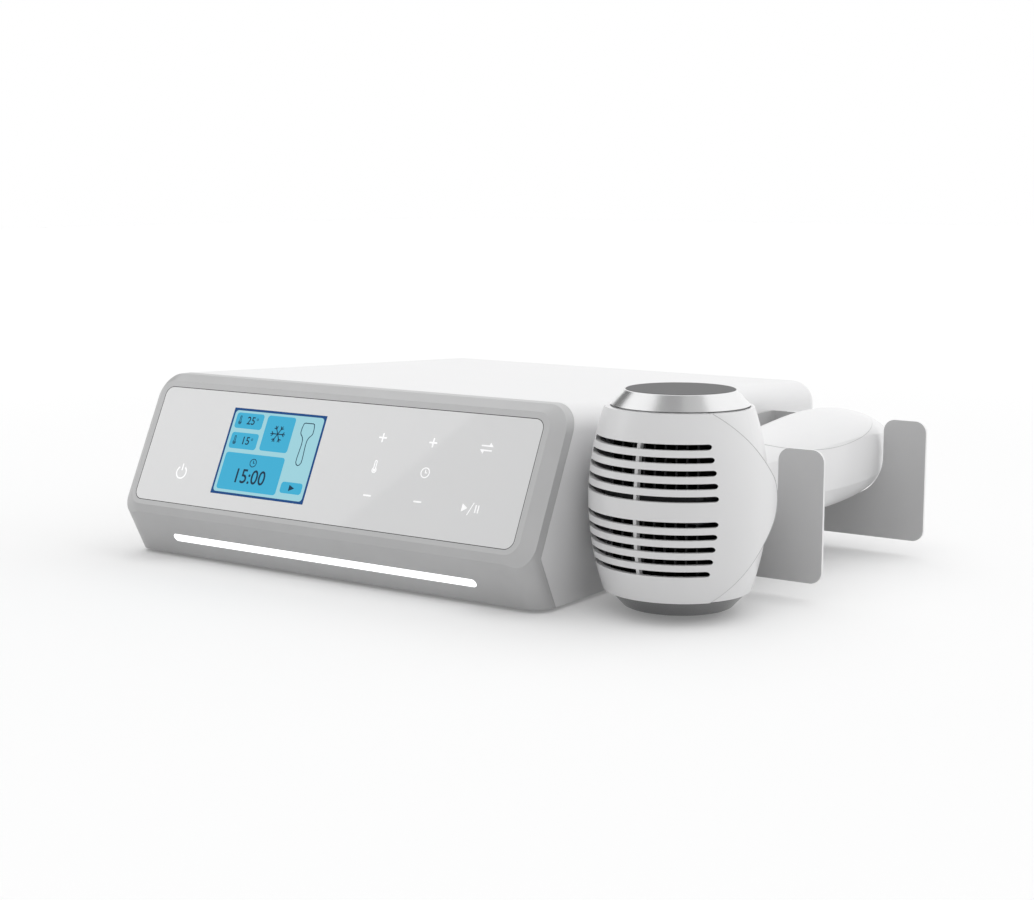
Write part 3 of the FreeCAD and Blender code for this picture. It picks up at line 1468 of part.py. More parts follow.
def makeInlet():
    body = newBody("power_inlet")
    flange = drawOn(body, "XZ_Plane", lift="-(console_depth + inlet_flange_thick)")
    roundBox(flange, "inlet_x", "inlet_z", "inlet_flange_wide", "inlet_flange_tall", "inlet_flange_round")
    pad(body, flange, "inlet_flange_thick")
    block = drawOn(body, "XZ_Plane", lift="-console_depth")
    roundBox(block, "inlet_x", "inlet_z", "inlet_wide", "inlet_tall", "0.8")
    pad(body, block, "inlet_deep")
    gaps = "2*moving_gap"
    inletBox(body, "rocker_z", f"rocker_wide + {gaps}", f"2*rocker_radius + {gaps}", "inlet_room")
    inletBox(body, "drawer_z", f"drawer_wide + {gaps}", f"drawer_tall + {gaps}", "drawer_long + 1")
    inletBox(body, "socket_z", "socket_wide", "socket_tall", "socket_deep", "3")
    pinHole = drawOn(body, "YZ_Plane", lift="inlet_x - inlet_wide")
    disc(pinHole, "console_depth - rocker_in", "inlet_z + rocker_z", "shaft_radius + stack_gap")
    pocket(body, pinHole, "2*inlet_wide", back=True)
    screwHoles = drawOn(body, "XZ_Plane", lift="-(console_depth + inlet_flange_thick + 1)")
    for z in inletScrews():
        disc(screwHoles, "inlet_x", z, "small_screw + screw_clearance")
    pocket(body, screwHoles, "inlet_flange_thick + 2", back=True)
    place(body)

    screws = newBody("inlet_screws")
    heads = drawOn(screws, "XZ_Plane", lift="-(console_depth + inlet_flange_thick)")
    for z in inletScrews():
        disc(heads, "inlet_x", z, "small_head")
    pad(screws, heads, "small_head_tall", back=True)
    shanks = drawOn(screws, "XZ_Plane", lift="-(console_depth + inlet_flange_thick)")
    for z in inletScrews():
        disc(shanks, "inlet_x", z, "small_screw")
    pad(screws, shanks, "small_screw_long")
    place(screws)

    pins = newBody("inlet_pins")
    blades = drawOn(pins, "XZ_Plane", lift="-(console_depth - socket_deep)")
    for dx, dz in ((-7, -1.5), (7, -1.5), (0, 3)):
        box(blades, f"inlet_x + {dx}", f"inlet_z + socket_z + {dz}", "2", "4")
    pad(pins, blades, "12", back=True)
    place(pins)


def makeRocker():
    """The switch's rocker, lying at its off stop, and the pin it turns on."""
    axisY = size("console_depth - rocker_in")
    axisZ = size("inlet_z + rocker_z")
    x = size("inlet_x")
    wide = size("rocker_wide")
    radius = size("rocker_radius")
    drum = Part.makeCylinder(radius, wide, Vector(x - wide / 2, axisY, axisZ), Vector(1, 0, 0))
    tilt = size("rocker_tilt")
    crown = size("rocker_crown")
    dish = size("rocker_dish")
    cutter = Part.makePolygon([
        Vector(x - wide, axisY + crown, axisZ),
        Vector(x - wide, axisY + crown + dish, axisZ + 2 * radius),
        Vector(x - wide, axisY + 4 * radius, axisZ + 2 * radius),
        Vector(x - wide, axisY + 4 * radius, axisZ - 2 * radius),
        Vector(x - wide, axisY + crown + dish, axisZ - 2 * radius),
        Vector(x - wide, axisY + crown, axisZ),
    ])
    dished = Part.Face(cutter).extrude(Vector(2 * wide, 0, 0))
    dished.rotate(Vector(x, axisY, axisZ), Vector(1, 0, 0), tilt)
    rocker = drum.cut(dished)
    along = Vector(1, 0, 0)
    bore = Part.makeCylinder(size("shaft_radius + shaft_gap"), 2 * wide,
                             Vector(x - wide, axisY, axisZ), along)
    rocker = rocker.cut(bore)
    place(shapePart("switch_rocker", rocker))
    reach = size("inlet_wide") / 2
    pin = Part.makeCylinder(size("shaft_radius"), 2 * reach, Vector(x - reach, axisY, axisZ), along)
    place(shapePart("rocker_pin", pin))


def makeDrawer():
    body = newBody("fuse_drawer")
    front = "console_depth + inlet_flange_thick"
    tray = drawOn(body, "XZ_Plane", lift=f"-({front})")
    box(tray, "inlet_x", "inlet_z + drawer_z", "drawer_wide", "drawer_tall")
    pad(body, tray, "drawer_long + inlet_flange_thick - 0.5")
    bedHeight = "(inlet_z + drawer_z - drawer_tall/2 + drawer_floor)"
    bedWide = "(drawer_wide - 2*drawer_side)"
    room = drawOn(body, "XY_Plane", lift=bedHeight)
    box(room, "inlet_x", "console_depth - drawer_long/2", bedWide, "drawer_long - 2*drawer_end")
    pocket(body, room, "drawer_tall", back=True)
    place(body)
    fuse = newBody("fuse")
    bed = drawOn(fuse, "YZ_Plane", lift="inlet_x - fuse_long/2")
    disc(bed, "console_depth - drawer_long/2", f"{bedHeight} + fuse_radius + thread_gap", "fuse_radius")
    pad(fuse, bed, "fuse_long")
    place(fuse)


def makeConnector():
    body = newBody("handpiece_socket")
    barrelSketch = drawOn(body, "XZ_Plane", lift="-(console_depth + connector_proud)")
    disc(barrelSketch, "connector_x", "connector_z", "connector_radius")
    pad(body, barrelSketch, "connector_proud + connector_inside")
    ring = drawOn(body, "XZ_Plane", lift="-(console_depth - rear_gap + stack_gap)")
    disc(ring, "connector_x", "connector_z", "connector_nut")
    pad(body, ring, "connector_nut_thick", back=True)
    well = drawOn(body, "XZ_Plane", lift="-(console_depth + connector_proud + 0.1)")
    disc(well, "connector_x", "connector_z", "connector_bore")
    pocket(body, well, "connector_well + 0.1", back=True)
    insert = drawOn(body, "XZ_Plane", lift="-(console_depth + connector_proud - connector_well + 0.1)")
    disc(insert, "connector_x", "connector_z", "connector_insert")
    pocket(body, insert, "connector_insert_deep + 0.1", back=True)
    place(body)
    pins = newBody("socket_pins")
    bottom = "(console_depth + connector_proud - connector_well - connector_insert_deep)"
    pinSketch = drawOn(pins, "XZ_Plane", lift=f"-{bottom}")
    count = int(size("contact_count"))
    for i in range(count):
        turn = f"({i}*360/{count} + 90)"
        x = f"connector_x + contact_circle*cos({turn})"
        disc(pinSketch, x, f"connector_z + contact_circle*sin({turn})", "contact_radius")
    pad(pins, pinSketch, "contact_long", back=True)
    place(pins)


def makeInside():
    """The power supply in its perforated case, and the control board on its posts."""
    foot = "(foot_height + shell_wall + stack_gap)"
    supply = newBody("power_supply")
    base = drawOn(supply, "XY_Plane", lift=foot)
    backEnd = "(console_depth - supply_rear_in)"
    box(base, "supply_x", f"{backEnd} - supply_long/2", "supply_wide", "supply_long")
    pad(supply, base, "supply_tall")
    rows = int(size("supply_slots"))
    slots = drawOn(supply, "XY_Plane", lift=f"{foot} + supply_tall + 1")
    firstSlot = f"({backEnd} - supply_long/2 - {rows - 1}*supply_slot_pitch/2)"
    slotEnd = "supply_slot_wide/2 - 0.01"
    roundBox(slots, "supply_x", firstSlot, "supply_slot", "supply_slot_wide", slotEnd)
    cut = pocket(supply, slots, "supply_slot_deep + 1")
    pattern(supply, cut, "Y_Axis", f"{rows - 1}*supply_slot_pitch", rows)
    place(supply)

    board = newBody("control_board")
    posts = drawOn(board, "XY_Plane", lift=foot)
    for sx in (-1, 1):
        for sy in (-1, 1):
            x = f"control_x + {sx}*(control_wide/2 - post_in)"
            disc(posts, x, f"control_y + {sy}*(control_long/2 - post_in)", "post_radius")
    pad(board, posts, "post_tall")
    plate = drawOn(board, "XY_Plane", lift=f"{foot} + post_tall")
    roundBox(plate, "control_x", "control_y", "control_wide", "control_long", "2")
    pad(board, plate, "board_thick")
    chips = drawOn(board, "XY_Plane", lift=f"{foot} + post_tall + board_thick")
    for x, y, wide, tall in ((-20, -25, 14, 14), (15, -30, 20, 10), (-35, 25, 12, 24), (25, 25, 28, 12)):
        box(chips, f"control_x + {x}", f"control_y + {y}", str(wide), str(tall))
    pad(board, chips, "chip_tall")
    place(board)


makeBezel()
makeShell()
makeBase()
makeFeet()
makePanel()
makeLightBar()
makeHolder()
makeHead()
makeCaps()
makeCoolers()
makeCapRings()
makeFan("head", "head_x", "head_y", "head_z", Rotation())
makeGrip()
makeRearPanel()
makeInlet()
makeRocker()
makeDrawer()
makeConnector()
fanMiddle = "(console_depth - shell_wall - rear_thick - 2*stack_gap - fan_thick/2)"
makeFan("console", "console_fan_x", fanMiddle, "console_fan_z", Rotation(Vector(1, 0, 0), 90))
makeInside()

# ---------------------------------------------------------------- check and write

doc.recompute()
faults = [o.Name for o in doc.Objects if "Invalid" in o.State or "Error" in o.State]
faults += [p.Label for p in subParts if p.Shape.isNull() or not p.Shape.isValid() or not p.Shape.Solids]
if faults:
    raise SystemExit("not built: " + ", ".join(faults))
os.makedirs("parts", exist_ok=True)
for piece in subParts:
    piece.Shape.exportStep(f"parts/{piece.Label}.step")
    span = piece.Shape.BoundBox
    print(f"{piece.Label:22s} {len(piece.Shape.Solids)} solids, {piece.Shape.Volume:9.0f} mm3,",
          f"{span.XLength:6.1f} x {span.YLength:6.1f} x {span.ZLength:6.1f} mm")
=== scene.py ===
import math

import bpy
from mathutils import Matrix, Vector


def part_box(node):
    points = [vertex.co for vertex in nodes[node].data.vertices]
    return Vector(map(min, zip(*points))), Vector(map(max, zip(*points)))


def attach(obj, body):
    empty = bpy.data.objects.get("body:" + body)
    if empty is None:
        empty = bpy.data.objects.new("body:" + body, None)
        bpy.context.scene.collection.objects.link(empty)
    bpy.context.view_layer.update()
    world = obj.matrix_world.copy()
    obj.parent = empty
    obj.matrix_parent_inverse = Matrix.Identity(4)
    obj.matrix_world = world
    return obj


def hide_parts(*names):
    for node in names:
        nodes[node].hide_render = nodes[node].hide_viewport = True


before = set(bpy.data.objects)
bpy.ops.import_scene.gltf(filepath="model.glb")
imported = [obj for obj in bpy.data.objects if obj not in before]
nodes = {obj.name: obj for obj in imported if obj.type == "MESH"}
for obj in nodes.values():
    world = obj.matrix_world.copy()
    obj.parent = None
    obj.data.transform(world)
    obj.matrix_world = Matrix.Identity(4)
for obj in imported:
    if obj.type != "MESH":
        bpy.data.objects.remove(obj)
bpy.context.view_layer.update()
print("frame loaded,", len(nodes), "nodes")

# the middle of the handpiece's barrel
capLow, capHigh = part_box("cold_cap")
hammerX = (capLow[0] + capHigh[0]) / 2
hammerY = (capLow[1] + capHigh[1]) / 2

fullTurn = 2 * math.pi


def deselectAll():
    for item in bpy.context.selected_objects:
        item.select_set(False)


def choose(*items):
    deselectAll()
    for item in items:
        item.select_set(True)
    bpy.context.view_layer.objects.active = items[-1]


def addObject(name, data):
    item = bpy.data.objects.new(name, data)
    bpy.context.scene.collection.objects.link(item)
    return item


def bakePlace(piece):
    choose(piece)
    bpy.ops.object.transform_apply(location=True, rotation=True, scale=True)


def joinAll(items, name):
    choose(*items)
    if len(items) > 1:
        bpy.ops.object.join()
    piece = bpy.context.view_layer.objects.active
    piece.name = name
    piece.data.name = name
    return piece


def dress(piece, finish):
    piece.data.materials.clear()
    piece.data.materials.append(finishes[finish])


def wear(piece, finish, body):
    dress(piece, finish)
    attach(piece, body)


# a shader node; what is given for an input is its value, or the socket to link it to
def addNode(tree, kind, inputs, **settings):
    node = tree.nodes.new("ShaderNode" + kind)
    for setting, value in settings.items():
        setattr(node, setting, value)
    for socket, value in inputs.items():
        if isinstance(value, bpy.types.NodeSocket):
            tree.links.new(value, node.inputs[socket])
        else:
            node.inputs[socket].default_value = value
    return node


def calculate(tree, operation, *values):
    return addNode(tree, "Math", dict(enumerate(values)), operation=operation).outputs["Value"]


def partOf(tree, vector, axis):
    return addNode(tree, "SeparateXYZ", {"Vector": vector}).outputs[axis]


# takes a value from one range to another
def respan(tree, value, before, after, **settings):
    inputs = {"Value": value, "From Min": before[0], "From Max": before[1],
              "To Min": after[0], "To Max": after[1]}
    return addNode(tree, "MapRange", inputs, **settings).outputs["Result"]


# the plain colour where the factor is 1, the other one elsewhere
def mixColours(tree, shader, factor, other, plain):
    mix = addNode(tree, "Mix", {"Factor": factor}, data_type="RGBA")
    coloursIn = [socket for socket in mix.inputs if socket.type == "RGBA"]
    colourOut = next(socket for socket in mix.outputs if socket.type == "RGBA")
    coloursIn[1].default_value = (*plain, 1)
    tree.links.new(other, coloursIn[0])
    tree.links.new(colourOut, shader.inputs["Base Color"])


# finishes: a base colour that wanders a little, gloss that wanders with it, and a fine grain
finishLook = {
    "coatRoughness": 0.04,
    "tintSpan": (0.35, 0.65),  # the part of the clouds that the two shades are spread over
    "glossSpan": (0.3, 0.7),
    "glossWander": 0.02,
    "grainHeight": 0.00002,
}


def newFinish(name, colour, roughness, metallic=0.0, coat=0.0):
    finish = bpy.data.materials.new(name)
    finish.use_nodes = True
    tree = finish.node_tree
    shader = next(node for node in tree.nodes if node.type == "BSDF_PRINCIPLED")
    shader.inputs["Base Color"].default_value = (*colour, 1)
    shader.inputs["Roughness"].default_value = roughness
    shader.inputs["Metallic"].default_value = metallic
    shader.inputs["Coat Weight"].default_value = coat
    shader.inputs["Coat Roughness"].default_value = finishLook["coatRoughness"]
    place = tree.nodes.new("ShaderNodeTexCoord").outputs["Object"]
    return finish, tree, shader, place


def addNoise(tree, place, scale, detail=2.0):
    inputs = {"Vector": place, "Scale": scale, "Detail": detail}
    return addNode(tree, "TexNoise", inputs).outputs["Fac"]


# shades of the colour, as much darker and lighter as the spread says
def tintBy(tree, shader, noise, colour, spread):
    ramp = addNode(tree, "ValToRGB", {"Fac": noise})
    dark = [max(0.0, part * (1 - spread)) for part in colour]
    light = [min(1.0, part * (1 + spread)) for part in colour]
    for i, shade in enumerate((dark, light)):
        ramp.color_ramp.elements[i].position = finishLook["tintSpan"][i]
        ramp.color_ramp.elements[i].color = (*shade, 1)
    tree.links.new(ramp.outputs["Color"], shader.inputs["Base Color"])
    return ramp.outputs["Color"]


def bumpBy(tree, shader, height, strength, distance):
    bump = addNode(tree, "Bump", {"Height": height, "Strength": strength, "Distance": distance})
    tree.links.new(bump.outputs["Normal"], shader.inputs["Normal"])


def grained(name, colour, roughness, metallic=0.0, coat=0.0, spread=0.008, cloud=14.0,
            grain=2600.0, depth=0.04):
    finish, tree, shader, place = newFinish(name, colour, roughness, metallic, coat)
    clouds = addNoise(tree, place, cloud)
    tintBy(tree, shader, clouds, colour, spread)
    wander = finishLook["glossWander"]
    gloss = respan(tree, clouds, finishLook["glossSpan"], (roughness - wander, roughness + wander))
    tree.links.new(gloss, shader.inputs["Roughness"])
    bumpBy(tree, shader, addNoise(tree, place, grain), depth, finishLook["grainHeight"])
    return finish


grainedLooks = {
    "whiteCasing": {"colour": (0.80, 0.80, 0.805), "roughness": 0.38, "coat": 0.10, "depth": 0.06},
    "whiteGrip": {"colour": (0.80, 0.80, 0.805), "roughness": 0.30, "coat": 0.20, "depth": 0.02},
    "whiteCover": {"colour": (0.775, 0.775, 0.78), "roughness": 0.32, "coat": 0.15, "depth": 0.02},
    "silverPaint": {"colour": (0.52, 0.521, 0.524), "roughness": 0.42, "metallic": 0.10,
                    "spread": 0.015, "cloud": 60.0, "grain": 4200.0, "depth": 0.10},
    "blackPlastic": {"colour": (0.018, 0.018, 0.02), "roughness": 0.45, "spread": 0.15,
                     "depth": 0.15},
    "darkInside": {"colour": (0.03, 0.03, 0.032), "roughness": 0.5, "spread": 0.2},
    "blackSink": {"colour": (0.022, 0.022, 0.024), "roughness": 0.35, "metallic": 0.6,
                  "spread": 0.2},
    "softRubber": {"colour": (0.03, 0.03, 0.03), "roughness": 0.7, "spread": 0.15,
                   "grain": 1800.0, "depth": 0.3},
    "greyRubber": {"colour": (0.25, 0.25, 0.253), "roughness": 0.6, "spread": 0.05,
                   "grain": 1800.0, "depth": 0.2},
    # painted shadow: the black of the strip in the gap round the glass
    "paintedGapShadow": {"colour": (0.02, 0.02, 0.021), "roughness": 0.8, "spread": 0.05,
                  "grain": 1800.0, "depth": 0.2},
    # painted shade: the grey of the beads in the handpiece's seams
    "seamShadeGrey": {"colour": (0.48, 0.48, 0.483), "roughness": 0.6, "spread": 0.05,
                   "grain": 1800.0, "depth": 0.2},
    "zincSteel": {"colour": (0.55, 0.55, 0.56), "roughness": 0.32, "metallic": 1.0,
                  "spread": 0.06, "cloud": 90.0},
    "sheetZinc": {"colour": (0.50, 0.51, 0.52), "roughness": 0.38, "metallic": 0.9,
                  "spread": 0.05, "cloud": 45.0},
    "greenBoard": {"colour": (0.02, 0.12, 0.05), "roughness": 0.4, "coat": 0.3,
                   "spread": 0.12, "cloud": 160.0},
    "goldContact": {"colour": (0.70, 0.52, 0.25), "roughness": 0.25, "metallic": 1.0},
    "bronzeBush": {"colour": (0.52, 0.33, 0.16), "roughness": 0.38, "metallic": 1.0,
                   "spread": 0.08, "cloud": 300.0},
    "copperCoil": {"colour": (0.60, 0.25, 0.11), "roughness": 0.30, "metallic": 1.0,
                   "spread": 0.12, "cloud": 700.0},
    "ferrite": {"colour": (0.035, 0.034, 0.035), "roughness": 0.55, "spread": 0.2,
                "cloud": 400.0},
    "whiteCeramic": {"colour": (0.75, 0.75, 0.72), "roughness": 0.5},
}
finishes = {name: grained(name, **look) for name, look in grainedLooks.items()}

# the two caps: turned bevels, the hot one darkened as painted shade for the shadowed floor it
# reflects; the flat ends are bead-blasted, rougher, and darkened as painted shade
metalLook = {
    "coldSide": (0.90, 0.902, 0.906),
    # the hot cap's dark colour is painted shade, for the shadowed floor it reflects
    "hotSidePaintedShade": (0.25, 0.251, 0.254),
    # the ends' dark colour is painted shade, for the dark room they reflect
    "end": (0.22, 0.221, 0.223),
    "endDepth": 0.00025,  # how far the end's finish reaches down
    "roughness": (0.25, 0.70),  # of a bevel and of an end
    "ringScale": 420.0,
    "ringDistortion": 0.6,
    "ringDetail": 2.0,
    "ringDepth": 0.05,
    "ringHeight": 0.00003,
    "cloud": 30.0,
    "cloudDetail": 3.0,
    "spread": 0.03,
}


# turned metal: fine rings round the barrel's axis, and another, rougher finish past the end's height
# whose dark colour is painted shade
def turnedMetal(name, colour, endHeight, endSide):
    finish, tree, shader, place = newFinish(name, colour, metalLook["roughness"][0], 1.0)
    centred = addNode(tree, "Mapping", {"Vector": place, "Location": (-hammerX, -hammerY, 0)})
    rings = addNode(tree, "TexWave", {
        "Vector": centred.outputs["Vector"],
        "Scale": metalLook["ringScale"],
        "Distortion": metalLook["ringDistortion"],
        "Detail": metalLook["ringDetail"],
    }, wave_type="RINGS", rings_direction="Z")
    bumpBy(tree, shader, rings.outputs["Fac"], metalLook["ringDepth"], metalLook["ringHeight"])
    clouds = addNoise(tree, place, metalLook["cloud"], metalLook["cloudDetail"])
    side = tintBy(tree, shader, clouds, colour, metalLook["spread"])
    atEnd = calculate(tree, "GREATER_THAN" if endSide > 0 else "LESS_THAN",
                      partOf(tree, place, "Z"), endHeight - endSide * metalLook["endDepth"])
    # painted shade: past the end's height the colour is the dark end colour
    mixColours(tree, shader, atEnd, side, metalLook["end"])
    gloss = respan(tree, atEnd, (0.0, 1.0), metalLook["roughness"])
    tree.links.new(gloss, shader.inputs["Roughness"])
    return finish


finishes["coldMetal"] = turnedMetal("coldMetal", metalLook["coldSide"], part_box("cold_cap")[1][2], 1)
finishes["hotMetal"] = turnedMetal("hotMetal", metalLook["hotSidePaintedShade"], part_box("hot_cap")[0][2], -1)

# the holder: bead-blasted sheet; the edges of its arms are painted lighter, a painted highlight where
# they catch the light
sheetLook = {
    "colour": (0.56, 0.56, 0.563),
    # the edge colour is a painted highlight
    "edge": (0.84, 0.84, 0.843),
    "roughness": 0.45,
    "metallic": 0.10,
    "cloud": 14.0,
    "spread": 0.008,
    "grain": 1500.0,
    "depth": 0.12,
    "edgeTurn": 0.5,  # an edge given the painted highlight faces less to the front or the back than this
    "armsFrom": 0.012,  # how far out from the holder's plate the arms start
}


def makeSheetFinish():
    finish, tree, shader, place = newFinish("sheetMetal", sheetLook["colour"],
                                            sheetLook["roughness"], sheetLook["metallic"])
    clouds = addNoise(tree, place, sheetLook["cloud"])
    blasted = tintBy(tree, shader, clouds, sheetLook["colour"], sheetLook["spread"])
    grain = addNoise(tree, place, sheetLook["grain"])
    bumpBy(tree, shader, grain, sheetLook["depth"], finishLook["grainHeight"])
    facing = tree.nodes.new("ShaderNodeNewGeometry").outputs["Normal"]
    toFront = calculate(tree, "ABSOLUTE", partOf(tree, facing, "Y"))
    isEdge = calculate(tree, "LESS_THAN", toFront, sheetLook["edgeTurn"])
    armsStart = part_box("holder_bracket")[0][0] + sheetLook["armsFrom"]
    isArm = calculate(tree, "GREATER_THAN", partOf(tree, place, "X"), armsStart)
    # painted highlight: the arms' edges take the lighter colour where they would catch the light
    paintedEdgeHighlight = calculate(tree, "MULTIPLY", isEdge, isArm)
    mixColours(tree, shader, paintedEdgeHighlight, blasted, sheetLook["edge"])
    return finish


finishes["sheetMetal"] = makeSheetFinish()

# surfaces that glow evenly, with a little cloud in their own colour
litLook = {"roughness": 0.25, "cloud": 60.0, "spread": 0.02}


def litFinish(name, colour, glow, body=0.1, coat=0.0, specular=0.5):
    finish, tree, shader, place = newFinish(name, colour, litLook["roughness"], 0.0, coat)
    shader.inputs["Specular IOR Level"].default_value = specular
    clouds = addNoise(tree, place, litLook["cloud"])
    tintBy(tree, shader, clouds, [part * body for part in colour], litLook["spread"])
    shader.inputs["Emission Color"].default_value = (*colour, 1)
    shader.inputs["Emission Strength"].default_value = glow
    return finish


lampLook = {"colour": (0.95, 0.96, 0.97), "glow": 1.0, "body": 1.0}
finishes["lampWhite"] = litFinish("lampWhite", **lampLook)

# the touch panel: glass with a pale print behind it
glassLook = {
    "print": (0.75, 0.752, 0.756),
    "roughness": 0.30,
    "coat": 1.0,
    "cloud": 9.0,
    "cloudDetail": 1.0,
    "spread": 0.008,
}


def makeGlassFinish():
    finish, tree, shader, place = newFinish("printedGlass", glassLook["print"],
                                            glassLook["roughness"], 0.0, glassLook["coat"])
    clouds = addNoise(tree, place, glassLook["cloud"], glassLook["cloudDetail"])
    tintBy(tree, shader, clouds, glassLook["print"], glassLook["spread"])
    return finish


finishes["printedGlass"] = makeGlassFinish()

# which nodes wear each finish
wornBy = {
    "silverPaint": ["front_bezel"],
    "whiteCasing": ["body_shell", "base_plate", "rear_panel"],
    "whiteCover": ["head_front_cover"],
    "whiteGrip": ["grip_housing", "grip_top_cover", "grip_end_cap"],
    "printedGlass": ["glass_panel"],
    "darkInside": ["lcd_screen"],
    "lampWhite": ["light_bar"],
    "sheetMetal": ["holder_bracket"],
    "coldMetal": ["cold_cap"],
    "hotMetal": ["hot_cap"],
    "greyRubber": ["cold_cap_ring", "hot_cap_ring"],
    "softRubber": ["rubber_feet", "cord_gland"],
    "zincSteel": ["base_screws", "holder_screws", "fan_screws", "inlet_screws", "inlet_pins",
                  "rocker_pin", "handpiece_socket"],
    "sheetZinc": ["lcd_module", "holder_nut_plate", "power_supply"],
    "greenBoard": ["led_strip", "touch_board", "power_key_board", "display_board", "grip_board",
                   "control_board"],
    "goldContact": ["socket_pins"],
    "whiteCeramic": ["cold_peltier_module", "hot_peltier_module", "fuse"],
    "blackSink": ["cold_heat_sink", "hot_heat_sink"],
    "blackPlastic": ["head_fan_frame", "head_fan_wheel", "console_fan_frame", "console_fan_wheel",
                     "power_inlet", "switch_rocker", "fuse_drawer"],
    "bronzeBush": ["head_fan_bush", "console_fan_bush"],
    "copperCoil": ["head_fan_coil", "console_fan_coil"],
    "ferrite": ["head_fan_magnet", "console_fan_magnet"],
}
for finishName, nodeNames in wornBy.items():
    for nodeName in nodeNames:
        dress(nodes[nodeName], finishName)
print("finishes set on", sum(len(nodeNames) for nodeNames in wornBy.values()), "nodes")

# how the glass lies: its lean back, its thickness, and how far up the face it starts
glassPlace = {
    "tilt": math.radians(25.66),
    "thick": 0.002,
    "low": 0.0032,
}
glassLow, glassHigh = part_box("glass_panel")
glassWide = glassHigh[0] - glassLow[0]
glassTall = ((glassHigh[2] - glassLow[2] - glassPlace["thick"] * math.sin(glassPlace["tilt"]))
             / math.cos(glassPlace["tilt"]))


# takes a piece drawn flat, x to the right and y up the face, onto the glass
def layOnGlass(piece, lift):
    tilt = glassPlace["tilt"]
    middleX = (glassLow[0] + glassHigh[0]) / 2
    foot = Vector((middleX, glassLow[1], glassLow[2] + glassPlace["thick"] * math.sin(tilt)))
    up = Vector((0, math.sin(tilt), math.cos(tilt)))
    out = Vector((0, -math.cos(tilt), math.sin(tilt)))
    place = foot - glassPlace["low"] * up + lift * out
    piece.matrix_world = Matrix.Translation(place) @ Matrix.Rotation(math.pi / 2 - tilt, 4, "X")
    bakePlace(piece)


# flat tiles are drawn at u, across from the panel's middle, and v, up from the foot of the face
tileLook = {
    "cornerSteps": 6,
    "ringSteps": 24,
    "letterSteps": 4,
    "letterSize": 1.4,  # of the letters' height
    "thick": 0.00006,
}


# gives the flat piece in edit mode its thickness; with a line width only its outline is left
def thicken(thick, line):
    if line > 0:
        bpy.ops.mesh.inset(thickness=line, depth=0)
        bpy.ops.mesh.delete(type="FACE")
    bpy.ops.mesh.select_all(action="SELECT")
    bpy.ops.mesh.extrude_region_move(TRANSFORM_OT_translate={"value": (0, 0, thick)})
    bpy.ops.mesh.select_all(action="SELECT")
    bpy.ops.mesh.normals_make_consistent(inside=False)
    bpy.ops.object.mode_set(mode="OBJECT")


# a tile with round corners about (u, v)
def roundedPlate(name, u, v, wide, tall, radius, thick, line=0.0):
    deselectAll()
    bpy.ops.mesh.primitive_plane_add(size=1, location=(u, v, 0))
    tile = bpy.context.object
    tile.name = name
    tile.scale = (wide, tall, 1)
    bpy.ops.object.transform_apply(location=True, rotation=False, scale=True)
    bpy.ops.object.mode_set(mode="EDIT")
    bpy.ops.mesh.select_all(action="SELECT")
    if radius > 0:
        bpy.ops.mesh.bevel(offset=radius, segments=tileLook["cornerSteps"], affect="VERTICES")
    thicken(thick, line)
    return tile


# a tile through the points given in order
def polygonPlate(name, points, thick, line=0.0):
    deselectAll()
    bpy.ops.mesh.primitive_circle_add(vertices=len(points), radius=1, fill_type="NGON")
    tile = bpy.context.object
    tile.name = name
    for vertex, point in zip(tile.data.vertices, points):
        vertex.co = (point[0], point[1], 0)
    bpy.ops.object.mode_set(mode="EDIT")
    bpy.ops.mesh.select_all(action="SELECT")
    thicken(thick, line)
    return tile


def bar(u, v, wide, tall, turn=0.0, thick=tileLook["thick"]):
    tile = roundedPlate("bar", 0, 0, wide, tall, 0.0, thick)
    tile.rotation_euler = (0, 0, turn)
    tile.location = (u, v, 0)
    bakePlace(tile)
    return tile


# part of a ring, from the start angle anticlockwise
def ringPart(u, v, radius, width, start, sweep, thick=tileLook["thick"],
             steps=tileLook["ringSteps"]):
    turns = [start + sweep * i / steps for i in range(steps + 1)]

    def arc(reach):
        return [(u + reach * math.cos(turn), v + reach * math.sin(turn)) for turn in turns]

    edge = arc(radius + width / 2) + arc(radius - width / 2)[::-1]
    return polygonPlate("ringPart", edge, thick)


# digits from the plain built-in letters
def digits(text, u, v, tall, narrow, weight, thick):
    deselectAll()
    bpy.ops.object.text_add(location=(0, 0, 0))
    letters = bpy.context.object.data
    letters.body = text
    letters.size = tall * tileLook["letterSize"]
    letters.align_x = "CENTER"
    letters.align_y = "CENTER"
    letters.offset = weight
    letters.extrude = thick / 2
    letters.resolution_u = tileLook["letterSteps"]
    bpy.ops.object.convert(target="MESH")
    words = bpy.context.object
    words.scale = (narrow, 1, 1)
    words.location = (u, v, thick / 2)
    bakePlace(words)
    return words


plusMark = {"line": 0.00088, "reach": 0.0054}  # the minus is its level bar


def minusSign(u, v):
    return [bar(u, v, plusMark["reach"], plusMark["line"])]


def plusSign(u, v):
    return minusSign(u, v) + [bar(u, v, plusMark["line"], plusMark["reach"])]


powerMark = {
    "line": 0.00086,
    "radius": 0.0038,
    "start": math.radians(125),
    "sweep": math.radians(290),
    "barUp": 0.0033,
    "barTall": 0.0043,
}


def powerSign(u, v):
    mark = powerMark
    return [
        ringPart(u, v, mark["radius"], mark["line"], mark["start"], mark["sweep"]),
        bar(u, v + mark["barUp"], mark["line"], mark["barTall"]),
    ]


# two half arrows, one each way
swapMark = {
    "line": 0.00078,
    "wide": 0.0074,
    "up": 0.0013,
    "tip": (0.0042, 0.00092),
    "high": (0.0019, 0.0033),
    "back": (0.0014, 0.00092),
}


